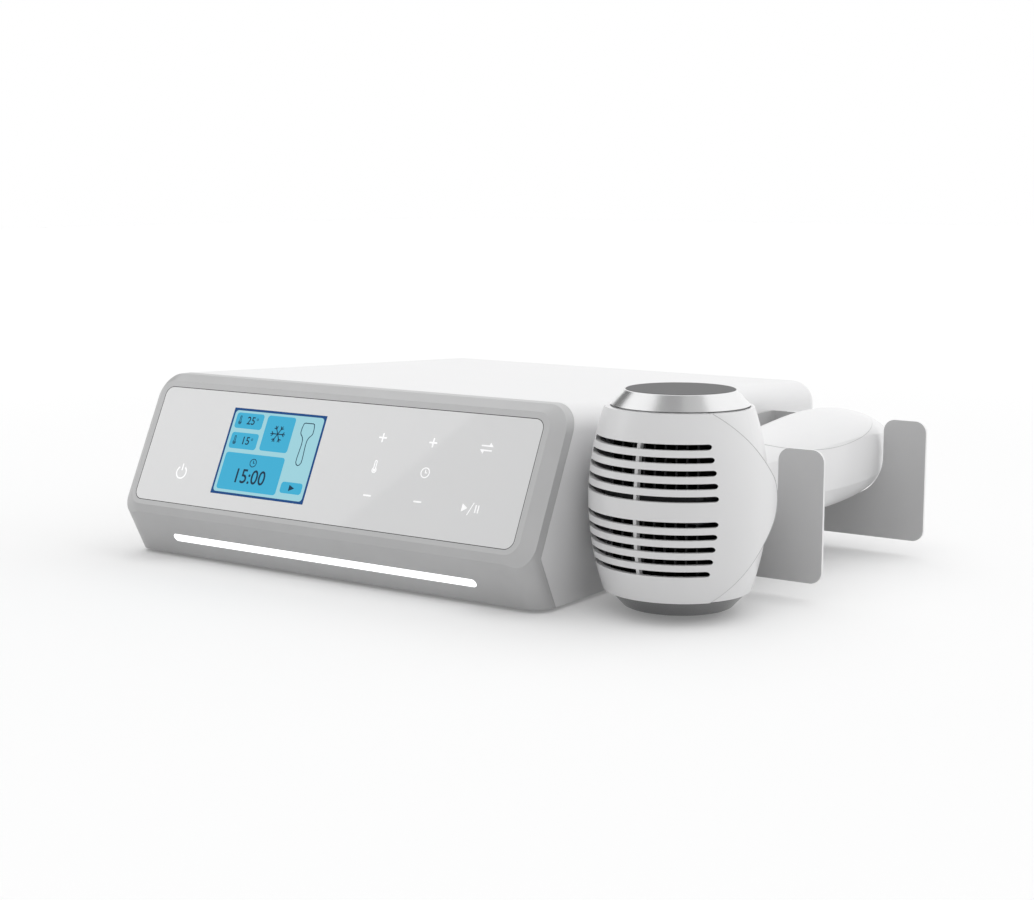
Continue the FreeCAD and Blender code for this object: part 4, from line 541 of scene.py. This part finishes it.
def swapSign(u, v):
    tiles = []
    for side in (1, -1):
        tiles.append(bar(u, v + side * swapMark["up"], swapMark["wide"], swapMark["line"]))
        barb = [(u + side * swapMark[point][0], v + side * swapMark[point][1])
                for point in ("tip", "high", "back")]
        tiles.append(polygonPlate("barb", barb, tileLook["thick"]))
    return tiles


playPauseMark = {
    "play": ((-0.0060, -0.0023), (-0.0024, 0.0), (-0.0060, 0.0023)),
    "slash": (-0.0002, -0.0002, 0.00055, 0.0078, -math.radians(22)),  # u, v, wide, tall, turn
    "pauseBars": (0.0030, 0.0048),
    "barWide": 0.00075,
    "barTall": 0.0044,
}


def playPauseSign(u, v):
    mark = playPauseMark
    triangle = [(u + across, v + up) for across, up in mark["play"]]
    across, up, wide, tall, turn = mark["slash"]
    tiles = [polygonPlate("play", triangle, tileLook["thick"]),
             bar(u + across, v + up, wide, tall, turn)]
    for across in mark["pauseBars"]:
        tiles.append(bar(u + across, v, mark["barWide"], mark["barTall"]))
    return tiles


thermometerMark = {
    "line": 0.0006,
    "bulbDown": 0.0018,
    "bulb": 0.0014,
    "bulbStart": math.radians(118),
    "bulbSweep": math.radians(304),
    "stemHalf": 0.00068,
    "stemUp": 0.0012,
    "stemTall": 0.0040,
    "topUp": 0.0032,
    "topSteps": 10,
    "dot": 0.0004,
    "dotLine": 0.0008,
    "dotSteps": 16,
}


def thermometerSign(u, v, scale=1.0, thick=tileLook["thick"]):
    mark = thermometerMark
    line = mark["line"] * scale
    stem = mark["stemHalf"] * scale
    bulbV = v - mark["bulbDown"] * scale
    stemV = v + mark["stemUp"] * scale
    stemTall = mark["stemTall"] * scale
    return [
        ringPart(u, bulbV, mark["bulb"] * scale, line, mark["bulbStart"], mark["bulbSweep"], thick),
        bar(u - stem, stemV, line, stemTall, thick=thick),
        bar(u + stem, stemV, line, stemTall, thick=thick),
        ringPart(u, v + mark["topUp"] * scale, stem, line, 0, math.pi, thick, mark["topSteps"]),
        ringPart(u, bulbV, mark["dot"] * scale, mark["dotLine"] * scale, 0, fullTurn, thick,
                 mark["dotSteps"]),
    ]


clockMark = {
    "line": 0.0006,
    "radius": 0.0028,
    "steps": 36,
    "longHand": (0.0008, 0.0018),  # its middle, up from the clock's, and its length
    "shortHand": (0.0006, -0.00005, 0.0014),  # its middle, across and up, and its length
}


def clockSign(u, v, scale=1.0, thick=tileLook["thick"]):
    mark = clockMark
    line = mark["line"] * scale
    longUp, longReach = (size * scale for size in mark["longHand"])
    shortAcross, shortUp, shortReach = (size * scale for size in mark["shortHand"])
    return [
        ringPart(u, v, mark["radius"] * scale, line, 0, fullTurn, thick, mark["steps"]),
        bar(u, v + longUp, line, longReach, thick=thick),
        bar(u + shortAcross, v + shortUp, shortReach, line, thick=thick),
    ]


# six arms with a pair of barbs on each; the barbs are measured in parts of the radius
snowMark = {
    "radius": 0.0056,
    "line": 0.0006,
    "arms": 6,
    "barbTurn": math.pi / 4,
    "barbFrom": 0.62,
    "barbMiddle": 0.16,
    "barbReach": 0.38,
}


def snowSign(u, v, thick):
    mark = snowMark
    radius, line, arms = mark["radius"], mark["line"], mark["arms"]
    turns = [k * fullTurn / arms for k in range(arms)]
    tiles = [bar(u, v, 2 * radius, line, turn, thick) for turn in turns[:arms // 2]]
    root = mark["barbFrom"] * radius
    middle = mark["barbMiddle"] * radius
    for turn in turns:
        for side in (1, -1):
            barb = turn + side * mark["barbTurn"]
            tiles.append(bar(u + root * math.cos(turn) + middle * math.cos(barb),
                             v + root * math.sin(turn) + middle * math.sin(barb),
                             mark["barbReach"] * radius, line, barb, thick))
    return tiles


# the touch signs, inlaid in the glass
symbolLook = {
    "columns": (0.0362, 0.0716, 0.1077),  # u of the touch places
    "rows": (0.0225, 0.0392, 0.0566),  # v of the touch places
    "powerU": -0.1077,
    "sunk": 0.00003,
    # the ink's glow is painted light: no lamp lights the print
    "ink": {"colour": (0.97, 0.97, 0.98), "glow": 0.30, "body": 0.9, "coat": 1.0},
}
finishes["whiteInkPaintedGlow"] = litFinish("whiteInkPaintedGlow", **symbolLook["ink"])


def makeSymbols():
    left, middle, right = symbolLook["columns"]
    low, centre, high = symbolLook["rows"]
    tiles = plusSign(left, high) + minusSign(left, low) + thermometerSign(left, centre)
    tiles += plusSign(middle, high) + minusSign(middle, low) + clockSign(middle, centre)
    tiles += swapSign(right, high) + playPauseSign(right, low)
    tiles += powerSign(symbolLook["powerU"], low)
    symbols = joinAll(tiles, "panelSymbols")
    layOnGlass(symbols, -symbolLook["sunk"])
    wear(symbols, "whiteInkPaintedGlow", "console")


makeSymbols()
print("panel symbols laid")

# display: layers of print, lit from behind, each a little above the last
display = {
    "u": -0.04385,
    "v": 0.0392,
    "wide": 0.0722,
    "tall": 0.0536,
    "frame": 0.0015,
    "layer": 0.00003,
    "sunk": 0.00002,
    "frameRound": 0.0003,
    "groundRound": 0.0022,
    "tileRound": 0.0019,
    # left, low, wide, tall from the display's lower left corner
    "tiles": {
        "room": (0.0033, 0.0411, 0.0217, 0.0097),
        "set": (0.0035, 0.0285, 0.0215, 0.0100),
        "mode": (0.0279, 0.0289, 0.0218, 0.0218),
        "time": (0.0034, 0.0032, 0.0465, 0.0228),
        "play": (0.0524, 0.0053, 0.0162, 0.0068),
    },
    # the small numbers, with a thermometer before and a degree ring after, from a tile's middle
    "numbers": {"room": "25", "set": "15"},
    "numberAcross": 0.0014,
    "numberType": (0.0049, 0.98, 0.00007),  # height, narrowing, weight
    "signAcross": -0.0072,
    "signScale": 0.72,
    "degree": (0.0062, 0.0013, 0.0006, 0.0003),  # across, up, radius, line
    "degreeSteps": 16,
    "clockUp": 0.0062,
    "clockScale": 0.85,
    "timeText": "15:00",
    "timeUp": -0.0028,
    "timeType": (0.0088, 0.92, 0.0001),
    "start": ((-0.0017, -0.0019), (0.0024, 0.0), (-0.0017, 0.0019)),  # the play sign's corners
    # half the outline of the handpiece drawing, from its top middle down to its end
    "handpiece": ((0.0, 0.0484), (0.0032, 0.0484), (0.0042, 0.0478), (0.0048, 0.0453),
                  (0.0049, 0.0424), (0.0045, 0.0412), (0.0027, 0.0394), (0.0020, 0.0377),
                  (0.0018, 0.0350), (0.0021, 0.0309), (0.0024, 0.0268), (0.0023, 0.0242),
                  (0.0014, 0.0227), (0.0, 0.0221)),
    "handpieceU": 0.0605,  # the drawing's middle, from the display's left side
    "line": 0.00055,
}
displayInks = {
    "displayFrame": {"colour": (0.004, 0.06, 0.22), "glow": 0.9, "coat": 0.25},
    "displayGround": {"colour": (0.32, 0.63, 0.71), "glow": 0.9, "coat": 0.6},
    "displayTile": {"colour": (0.012, 0.40, 0.64), "glow": 0.9, "coat": 0.6},
    "displayInk": {"colour": (0.004, 0.05, 0.11), "glow": 0.5, "coat": 0.25},
}
for inkName, ink in displayInks.items():
    finishes[inkName] = litFinish(inkName, **ink, specular=0.0)


def displayLayer(items, name, level, finish):
    piece = joinAll(items, name)
    layOnGlass(piece, level * display["layer"] - display["sunk"])
    wear(piece, finish, "console")


# what stands on the tiles and beside them: numbers, signs and a drawing of the handpiece
def drawDisplayInk(u0, v0):
    layer = display["layer"]
    middles = {name: (u0 + left + wide / 2, v0 + low + tall / 2)
               for name, (left, low, wide, tall) in display["tiles"].items()}
    marks = []
    for name, number in display["numbers"].items():
        u, v = middles[name]
        marks += thermometerSign(u + display["signAcross"], v, display["signScale"], layer)
        marks.append(digits(number, u + display["numberAcross"], v, *display["numberType"], layer))
        across, up, radius, line = display["degree"]
        marks.append(ringPart(u + across, v + up, radius, line, 0, fullTurn, layer,
                              display["degreeSteps"]))
    marks += snowSign(*middles["mode"], layer)
    u, v = middles["time"]
    marks += clockSign(u, v + display["clockUp"], display["clockScale"], layer)
    marks.append(digits(display["timeText"], u, v + display["timeUp"], *display["timeType"], layer))
    u, v = middles["play"]
    triangle = [(u + across, v + up) for across, up in display["start"]]
    marks.append(polygonPlate("start", triangle, layer))
    half = display["handpiece"]
    u = u0 + display["handpieceU"]
    outline = [(u + side, v0 + up) for side, up in half]
    outline += [(u - side, v0 + up) for side, up in half[-2:0:-1]]
    marks.append(polygonPlate("drawing", outline, layer, display["line"]))
    return marks


def makeDisplay():
    wide, tall, rim = display["wide"], display["tall"], display["frame"]
    u0 = display["u"] - wide / 2
    v0 = display["v"] - tall / 2

    def tile(left, low, wide, tall, radius):
        return roundedPlate("tile", u0 + left + wide / 2, v0 + low + tall / 2, wide, tall, radius,
                            display["layer"])

    edge = tile(0, 0, wide, tall, display["frameRound"])
    displayLayer([edge], "displayFrame", 0, "displayFrame")
    ground = tile(rim, rim, wide - 2 * rim, tall - 2 * rim, display["groundRound"])
    displayLayer([ground], "displayGround", 1, "displayGround")
    tiles = [tile(*place, display["tileRound"]) for place in display["tiles"].values()]
    displayLayer(tiles, "displayTiles", 2, "displayTile")
    displayLayer(drawDisplayInk(u0, v0), "displayInk", 3, "displayInk")


makeDisplay()
print("display drawn")

# a black strip that fills the gap round the glass: painted shadow, darkening the gap as its shade
# would
rimLook = {
    "gap": 0.00039,
    "line": 0.00038,
    "round": 0.0055,  # of the glass's own corners
    "deep": 0.0010,
    "sunk": 0.00002,
}


def makeGapShadowStrip():
    gap, deep = rimLook["gap"], rimLook["deep"]
    rim = roundedPlate("glassGapShadow", 0, glassPlace["low"] + glassTall / 2, glassWide + 2 * gap,
                       glassTall + 2 * gap, rimLook["round"] + gap, deep, rimLook["line"])
    layOnGlass(rim, -deep - rimLook["sunk"])
    wear(rim, "paintedGapShadow", "console")


makeGapShadowStrip()
print("gasket round the glass laid")

# screws: a low round head with a cross in it, on a plain shank
screwLook = {
    "headSides": 48,
    "shankSides": 32,
    "cross": 0.62,  # how far the cross reaches, of the head's radius
    "crossWide": 0.22,
    "crossDeep": 0.55,  # of the head's height
    "dome": 0.45,
    "domeSteps": 5,
    "tip": 0.4,  # of the shank's radius
    "tipSteps": 2,
    "overlap": 0.00005,  # how far the shank reaches into the head
    "endTurn": 0.9,  # the flat end's normal is nearer to upright than this
    # the head's radius, its height, and the shank's radius
    "large": (0.0036, 0.0022, 0.0020),
    "small": (0.0029, 0.0015, 0.0015),
}
# for each node of screws: the axis and the side that the heads look to
screwSets = {
    "holder_screws": {"name": "holderScrew", "axis": 0, "side": 1, "size": "large"},
    "fan_screws": {"name": "fanScrew", "axis": 1, "side": 1, "size": "large"},
    "inlet_screws": {"name": "inletScrew", "axis": 1, "side": 1, "size": "small"},
    "base_screws": {"name": "baseScrew", "axis": 2, "side": -1, "size": "small"},
}


# rounds the rim of the end that looks up (side 1) or down (side -1)
def bevelEnd(piece, side, reach, steps):
    bpy.ops.object.mode_set(mode="EDIT")
    bpy.ops.mesh.select_all(action="DESELECT")
    bpy.ops.object.mode_set(mode="OBJECT")
    for face in piece.data.polygons:
        face.select = side * face.normal.z > screwLook["endTurn"]
    bpy.ops.object.mode_set(mode="EDIT")
    bpy.ops.mesh.bevel(offset=reach, segments=steps, affect="EDGES")
    bpy.ops.object.mode_set(mode="OBJECT")


def addCylinder(sides, radius, tall, middle):
    deselectAll()
    bpy.ops.mesh.primitive_cylinder_add(vertices=sides, radius=radius, depth=tall,
                                        location=(0, 0, middle))
    return bpy.context.object


def cutSlot(piece, long, wide, deep, level, turn):
    deselectAll()
    bpy.ops.mesh.primitive_cube_add(size=1, location=(0, 0, level), rotation=(0, 0, turn))
    arm = bpy.context.object
    arm.scale = (long, wide, deep)
    bakePlace(arm)
    cut = piece.modifiers.new("cross", "BOOLEAN")
    cut.operation = "DIFFERENCE"
    cut.object = arm
    choose(piece)
    bpy.ops.object.modifier_apply(modifier=cut.name)
    bpy.data.objects.remove(arm)


def makeScrew(name, head, headTall, shank, shankLong):
    look = screwLook
    top = addCylinder(look["headSides"], head, headTall, headTall / 2)
    bevelEnd(top, 1, look["dome"] * headTall, look["domeSteps"])
    for turn in (0, math.pi / 2):
        cutSlot(top, 2 * look["cross"] * head, look["crossWide"] * head,
                2 * look["crossDeep"] * headTall, headTall, turn)
    shaft = addCylinder(look["shankSides"], shank, shankLong, -shankLong / 2 + look["overlap"])
    bevelEnd(shaft, -1, look["tip"] * shank, look["tipSteps"])
    screw = joinAll([top, shaft], name)
    bakePlace(screw)
    return screw


# one copy of a screw at each corner of the node's box, heads outward along the axis
def setScrews(node, name, axis, side, size):
    head, headTall, shank = screwLook[size]
    low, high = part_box(node)
    others = [i for i in range(3) if i != axis]
    seat = high[axis] - headTall if side > 0 else low[axis] + headTall
    pattern = makeScrew(name, head, headTall, shank, high[axis] - low[axis] - headTall)
    out = Vector([side if i == axis else 0 for i in range(3)])
    lay = out.to_track_quat("Z", "Y").to_matrix().to_4x4()
    # where the box is no wider than a head, both its sides give the same line
    rows = [sorted({round(low[i] + head, 5), round(high[i] - head, 5)}) for i in others]
    places = [(first, second) for first in rows[0] for second in rows[1]]
    for count, (first, second) in enumerate(places, 1):
        screw = addObject(name + str(count), pattern.data.copy())
        at = Vector((0, 0, 0))
        at[axis], at[others[0]], at[others[1]] = seat, first, second
        screw.matrix_world = Matrix.Translation(at) @ lay
        bakePlace(screw)
        wear(screw, "zincSteel", "console")
        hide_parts(node)
    bpy.data.objects.remove(pattern)


for screwNode, screwSet in screwSets.items():
    setScrews(screwNode, **screwSet)
print("screws set")

# the switch's line and ring, on the two halves of its dished face
rockerLook = {
    "tilt": math.radians(7.0),  # as the switch lies at rest
    "crown": 0.0046,  # from the pin to the middle of the face
    "slope": 3.0 / 12.4,
    "reach": 0.0027,
    "sunk": 0.00004,
    "line": (0.0005, 0.0026),  # wide, tall
    "ring": (0.0012, 0.0004),  # radius, line
}


def makeRockerMark(tiles, name, side):
    mark = joinAll(tiles, name)
    slope, reach = rockerLook["slope"], rockerLook["reach"]
    lean = math.atan(slope)
    up = Vector((0, side * math.sin(lean), math.cos(lean)))
    out = Vector((0, math.cos(lean), -side * math.sin(lean)))
    face = Matrix((Vector((-1, 0, 0)), up, out)).transposed().to_4x4()
    middle = Vector((0, rockerLook["crown"] + slope * reach, side * reach))
    middle -= rockerLook["sunk"] * out
    pinLow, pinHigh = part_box("rocker_pin")
    axis = (Vector(pinLow) + Vector(pinHigh)) / 2
    mark.matrix_world = (Matrix.Translation(axis) @ Matrix.Rotation(rockerLook["tilt"], 4, "X")
                         @ Matrix.Translation(middle) @ face)
    bakePlace(mark)
    # the switch's marks wear the glowing ink: painted light, the switch has no lamp
    wear(mark, "whiteInkPaintedGlow", "rocker")


makeRockerMark([bar(0, 0, *rockerLook["line"])], "rockerLine", 1)
makeRockerMark([ringPart(0, 0, *rockerLook["ring"], 0, fullTurn)], "rockerRing", -1)
print("switch marked")

# thin grey beads in the seams of the handpiece's mouldings: painted shade, standing in for each
# seam's shadow line
seamShadeLook = {
    "merge": 0.000002,  # loose corners of a node nearer than this are one
    "steps": 2,
    # how far a face has to turn, as a part of its normal
    "level": 0.05,
    "coverWall": 0.2,
    "coverSkin": 0.5,
    "leafWall": -0.9,
    "leafSkin": 0.05,
}


# for a face: is it part of the seam's wall, is it part of the skin beside it
def coverSides(face):
    away = Vector((face.center.x - hammerX, face.center.y - hammerY, 0)).normalized()
    isWall = abs(face.normal.x) < seamShadeLook["level"] and face.normal.y > seamShadeLook["coverWall"]
    return isWall, face.normal.dot(away) > seamShadeLook["coverSkin"] and not isWall


def leafSides(face):
    isWall = abs(face.normal.x) < seamShadeLook["level"] and face.normal.z < seamShadeLook["leafWall"]
    return isWall, face.normal.z > seamShadeLook["leafSkin"]


seamShadeBeads = {
    "coverSeamShade": {"along": "head_front_cover", "sidesOf": coverSides, "thick": 0.0003,
                  "shift": (0, 0.0003, 0), "sunk": 0.00015},
    "leafSeamShade": {"along": "grip_top_cover", "sidesOf": leafSides, "thick": 0.00024,
                 "shift": (0, 0, -0.00012), "sunk": 0.00022},
}


# selects the edges where wall meets skin, and gives the skin's normal at each of their corners
def pickSeam(mesh, sidesOf):
    beside = {}
    for face in mesh.polygons:
        sides = sidesOf(face)
        for key in face.edge_keys:
            beside.setdefault(key, []).append((*sides, face.normal.copy()))
    skins = {}
    for edge in mesh.edges:
        found = beside.get(edge.key, [])
        onWall = any(isWall for isWall, isSkin, normal in found)
        onSkin = any(isSkin for isWall, isSkin, normal in found)
        edge.select = onWall and onSkin
        if edge.select:
            skin = next(normal for isWall, isSkin, normal in found if isSkin)
            for index in edge.vertices:
                skins[index] = skin
    return skins


# a round bead along the seam, sunk a little into it
def makeSeamShadeBead(name, along, sidesOf, thick, shift, sunk):
    bead = addObject(name, nodes[along].data.copy())
    choose(bead)
    bpy.ops.object.mode_set(mode="EDIT")
    bpy.ops.mesh.select_mode(type="EDGE")
    bpy.ops.mesh.select_all(action="SELECT")
    bpy.ops.mesh.remove_doubles(threshold=seamShadeLook["merge"])
    bpy.ops.mesh.select_all(action="DESELECT")
    bpy.ops.object.mode_set(mode="OBJECT")
    skins = pickSeam(bead.data, sidesOf)
    for index, skin in skins.items():
        vertex = bead.data.vertices[index]
        vertex.co = vertex.co - sunk * skin + Vector(shift)
    bpy.ops.object.mode_set(mode="EDIT")
    bpy.ops.mesh.select_all(action="INVERT")
    bpy.ops.mesh.delete(type="EDGE_FACE")
    bpy.ops.mesh.select_all(action="SELECT")
    bpy.ops.mesh.delete_loose(use_verts=True, use_edges=False, use_faces=False)
    bpy.ops.object.mode_set(mode="OBJECT")
    choose(bead)
    bpy.ops.object.convert(target="CURVE")
    curve = bpy.context.object.data
    curve.bevel_depth = thick
    curve.bevel_resolution = seamShadeLook["steps"]
    curve.use_fill_caps = True
    bpy.ops.object.convert(target="MESH")
    # the bead's grey is painted shade for the seam's shadow line
    wear(bpy.context.object, "seamShadeGrey", "handpiece")
    print(name, "laid through", len(skins), "corners")


for beadName, beadSettings in seamShadeBeads.items():
    makeSeamShadeBead(beadName, **beadSettings)

# camera, floor and light
view = {
    "at": (0.607615, -0.92331, 0.22358),
    "down": math.radians(8.43),
    "turn": math.radians(34.68),
    "lens": 62.064,
    "sensor": 36,
}


def makeCamera():
    lens = bpy.data.cameras.new("camera")
    lens.lens = view["lens"]
    lens.sensor_width = view["sensor"]
    camera = addObject("camera", lens)
    camera.location = view["at"]
    camera.rotation_euler = (math.pi / 2 - view["down"], 0, view["turn"])
    bpy.context.scene.camera = camera


makeCamera()

studio = {
    "floorSize": 14.0,
    "floorMiddle": (0, 2, 0),
    "floorTone": (0.76, 0.76, 0.76),
    # for the camera and gloss alone, so that the floor reads as white: near the object, far off; the
    # weaker glow near the object is a painted shadow
    "floorGlow": (0.172, 0.215),
    "paintedShadowReach": (0.45, 1.60),
    "white": (1, 1, 1, 1),
    "sky": 0.64,  # what lights the object
    "backdrop": 1.0,  # what the camera and gloss see instead
    # soft suns: where each stands, its power and how wide it spreads
    "suns": {
        "overhead": ((-0.15, 0.20, 1.0), 0.95, math.radians(80)),
        "sideFill": ((1.0, 0.90, 0.85), 0.80, math.radians(70)),
    },
    # bright and dark cards that only gloss shows: where each stands and how brightly it glows
    "cards": {
        "panelCard": (((-0.561, -0.914, 1.126), (-1.132, -1.106, 0.433),
                       (-1.70, -0.705, 0.433), (-1.50, -0.455, 1.126)), 1.9),
        "ceilingDark": (((0.0245, -0.8085, 1.12), (0.4515, -0.513, 1.12),
                         (-0.1175, 0.309, 1.12), (-0.5445, 0.0135, 1.12)), 0.34),
        "ceilingGrey": (((0.4515, -0.513, 1.12), (0.8465, -0.2395, 1.12),
                         (0.2775, 0.5825, 1.12), (-0.1175, 0.309, 1.12)), 0.52),
        "backCard": (((-2.235, 1.705, 0.43), (-2.80, 0.42, 0.43),
                      (-2.80, 0.42, 1.84), (-2.235, 1.705, 1.84)), 0.12),
    },
}


def emptyTree(holder):
    holder.use_nodes = True
    holder.node_tree.nodes.clear()
    return holder.node_tree


# the bright shader for the camera, gloss and glass, the plain one for what lights the object
def showBright(tree, plain, bright):
    path = tree.nodes.new("ShaderNodeLightPath").outputs
    seen = calculate(tree, "MAXIMUM", path["Is Camera Ray"], path["Is Glossy Ray"])
    seen = calculate(tree, "MAXIMUM", seen, path["Is Transmission Ray"])
    return addNode(tree, "MixShader", {"Fac": seen, 1: plain, 2: bright}).outputs["Shader"]


def makeFloor():
    deselectAll()
    bpy.ops.mesh.primitive_plane_add(size=studio["floorSize"], location=studio["floorMiddle"])
    floor = bpy.context.object
    floor.name = "floor"
    bakePlace(floor)
    finish = bpy.data.materials.new("floorPaper")
    tree = emptyTree(finish)
    place = tree.nodes.new("ShaderNodeTexCoord").outputs["Object"]
    away = addNode(tree, "VectorMath", {0: place}, operation="LENGTH").outputs["Value"]
    # painted shadow: the floor's glow is weaker near the object
    strength = respan(tree, away, studio["paintedShadowReach"], studio["floorGlow"],
                      interpolation_type="SMOOTHSTEP")
    glow = addNode(tree, "Emission", {"Strength": strength}).outputs["Emission"]
    matte = addNode(tree, "BsdfDiffuse", {"Color": (*studio["floorTone"], 1)}).outputs["BSDF"]
    lifted = addNode(tree, "AddShader", {0: matte, 1: glow}).outputs["Shader"]
    addNode(tree, "OutputMaterial", {"Surface": showBright(tree, matte, lifted)})
    floor.data.materials.append(finish)


def makeSky():
    world = bpy.data.worlds.new("paleRoom")
    bpy.context.scene.world = world
    tree = emptyTree(world)
    room, white = (addNode(tree, "Background", {"Color": studio["white"], "Strength": strength})
                   for strength in (studio["sky"], studio["backdrop"]))
    shown = showBright(tree, room.outputs["Background"], white.outputs["Background"])
    addNode(tree, "OutputWorld", {"Surface": shown})


def makeSun(name, place, power, spread):
    light = bpy.data.lights.new(name, "SUN")
    light.energy = power
    light.angle = spread
    sun = addObject(name, light)
    sun.location = place
    sun.visible_glossy = False
    sun.rotation_euler = (-Vector(place)).to_track_quat("-Z", "Y").to_euler()


def makeCard(name, corners, strength):
    deselectAll()
    bpy.ops.mesh.primitive_plane_add(size=1)
    card = bpy.context.object
    card.name = name
    # a plane's own corners run in rows, not round it
    for vertex, i in zip(card.data.vertices, (0, 1, 3, 2)):
        vertex.co = corners[i]
    finish = bpy.data.materials.new(name)
    tree = emptyTree(finish)
    glow = addNode(tree, "Emission", {"Strength": strength}).outputs["Emission"]
    addNode(tree, "OutputMaterial", {"Surface": glow})
    card.data.materials.append(finish)
    card.visible_camera = False
    card.visible_diffuse = False
    card.visible_shadow = False


makeFloor()
makeSky()
for sunName, settings in studio["suns"].items():
    makeSun(sunName, *settings)
for cardName, settings in studio["cards"].items():
    makeCard(cardName, *settings)
bpy.context.scene.view_settings.view_transform = "Standard"
print("camera, floor and light set")
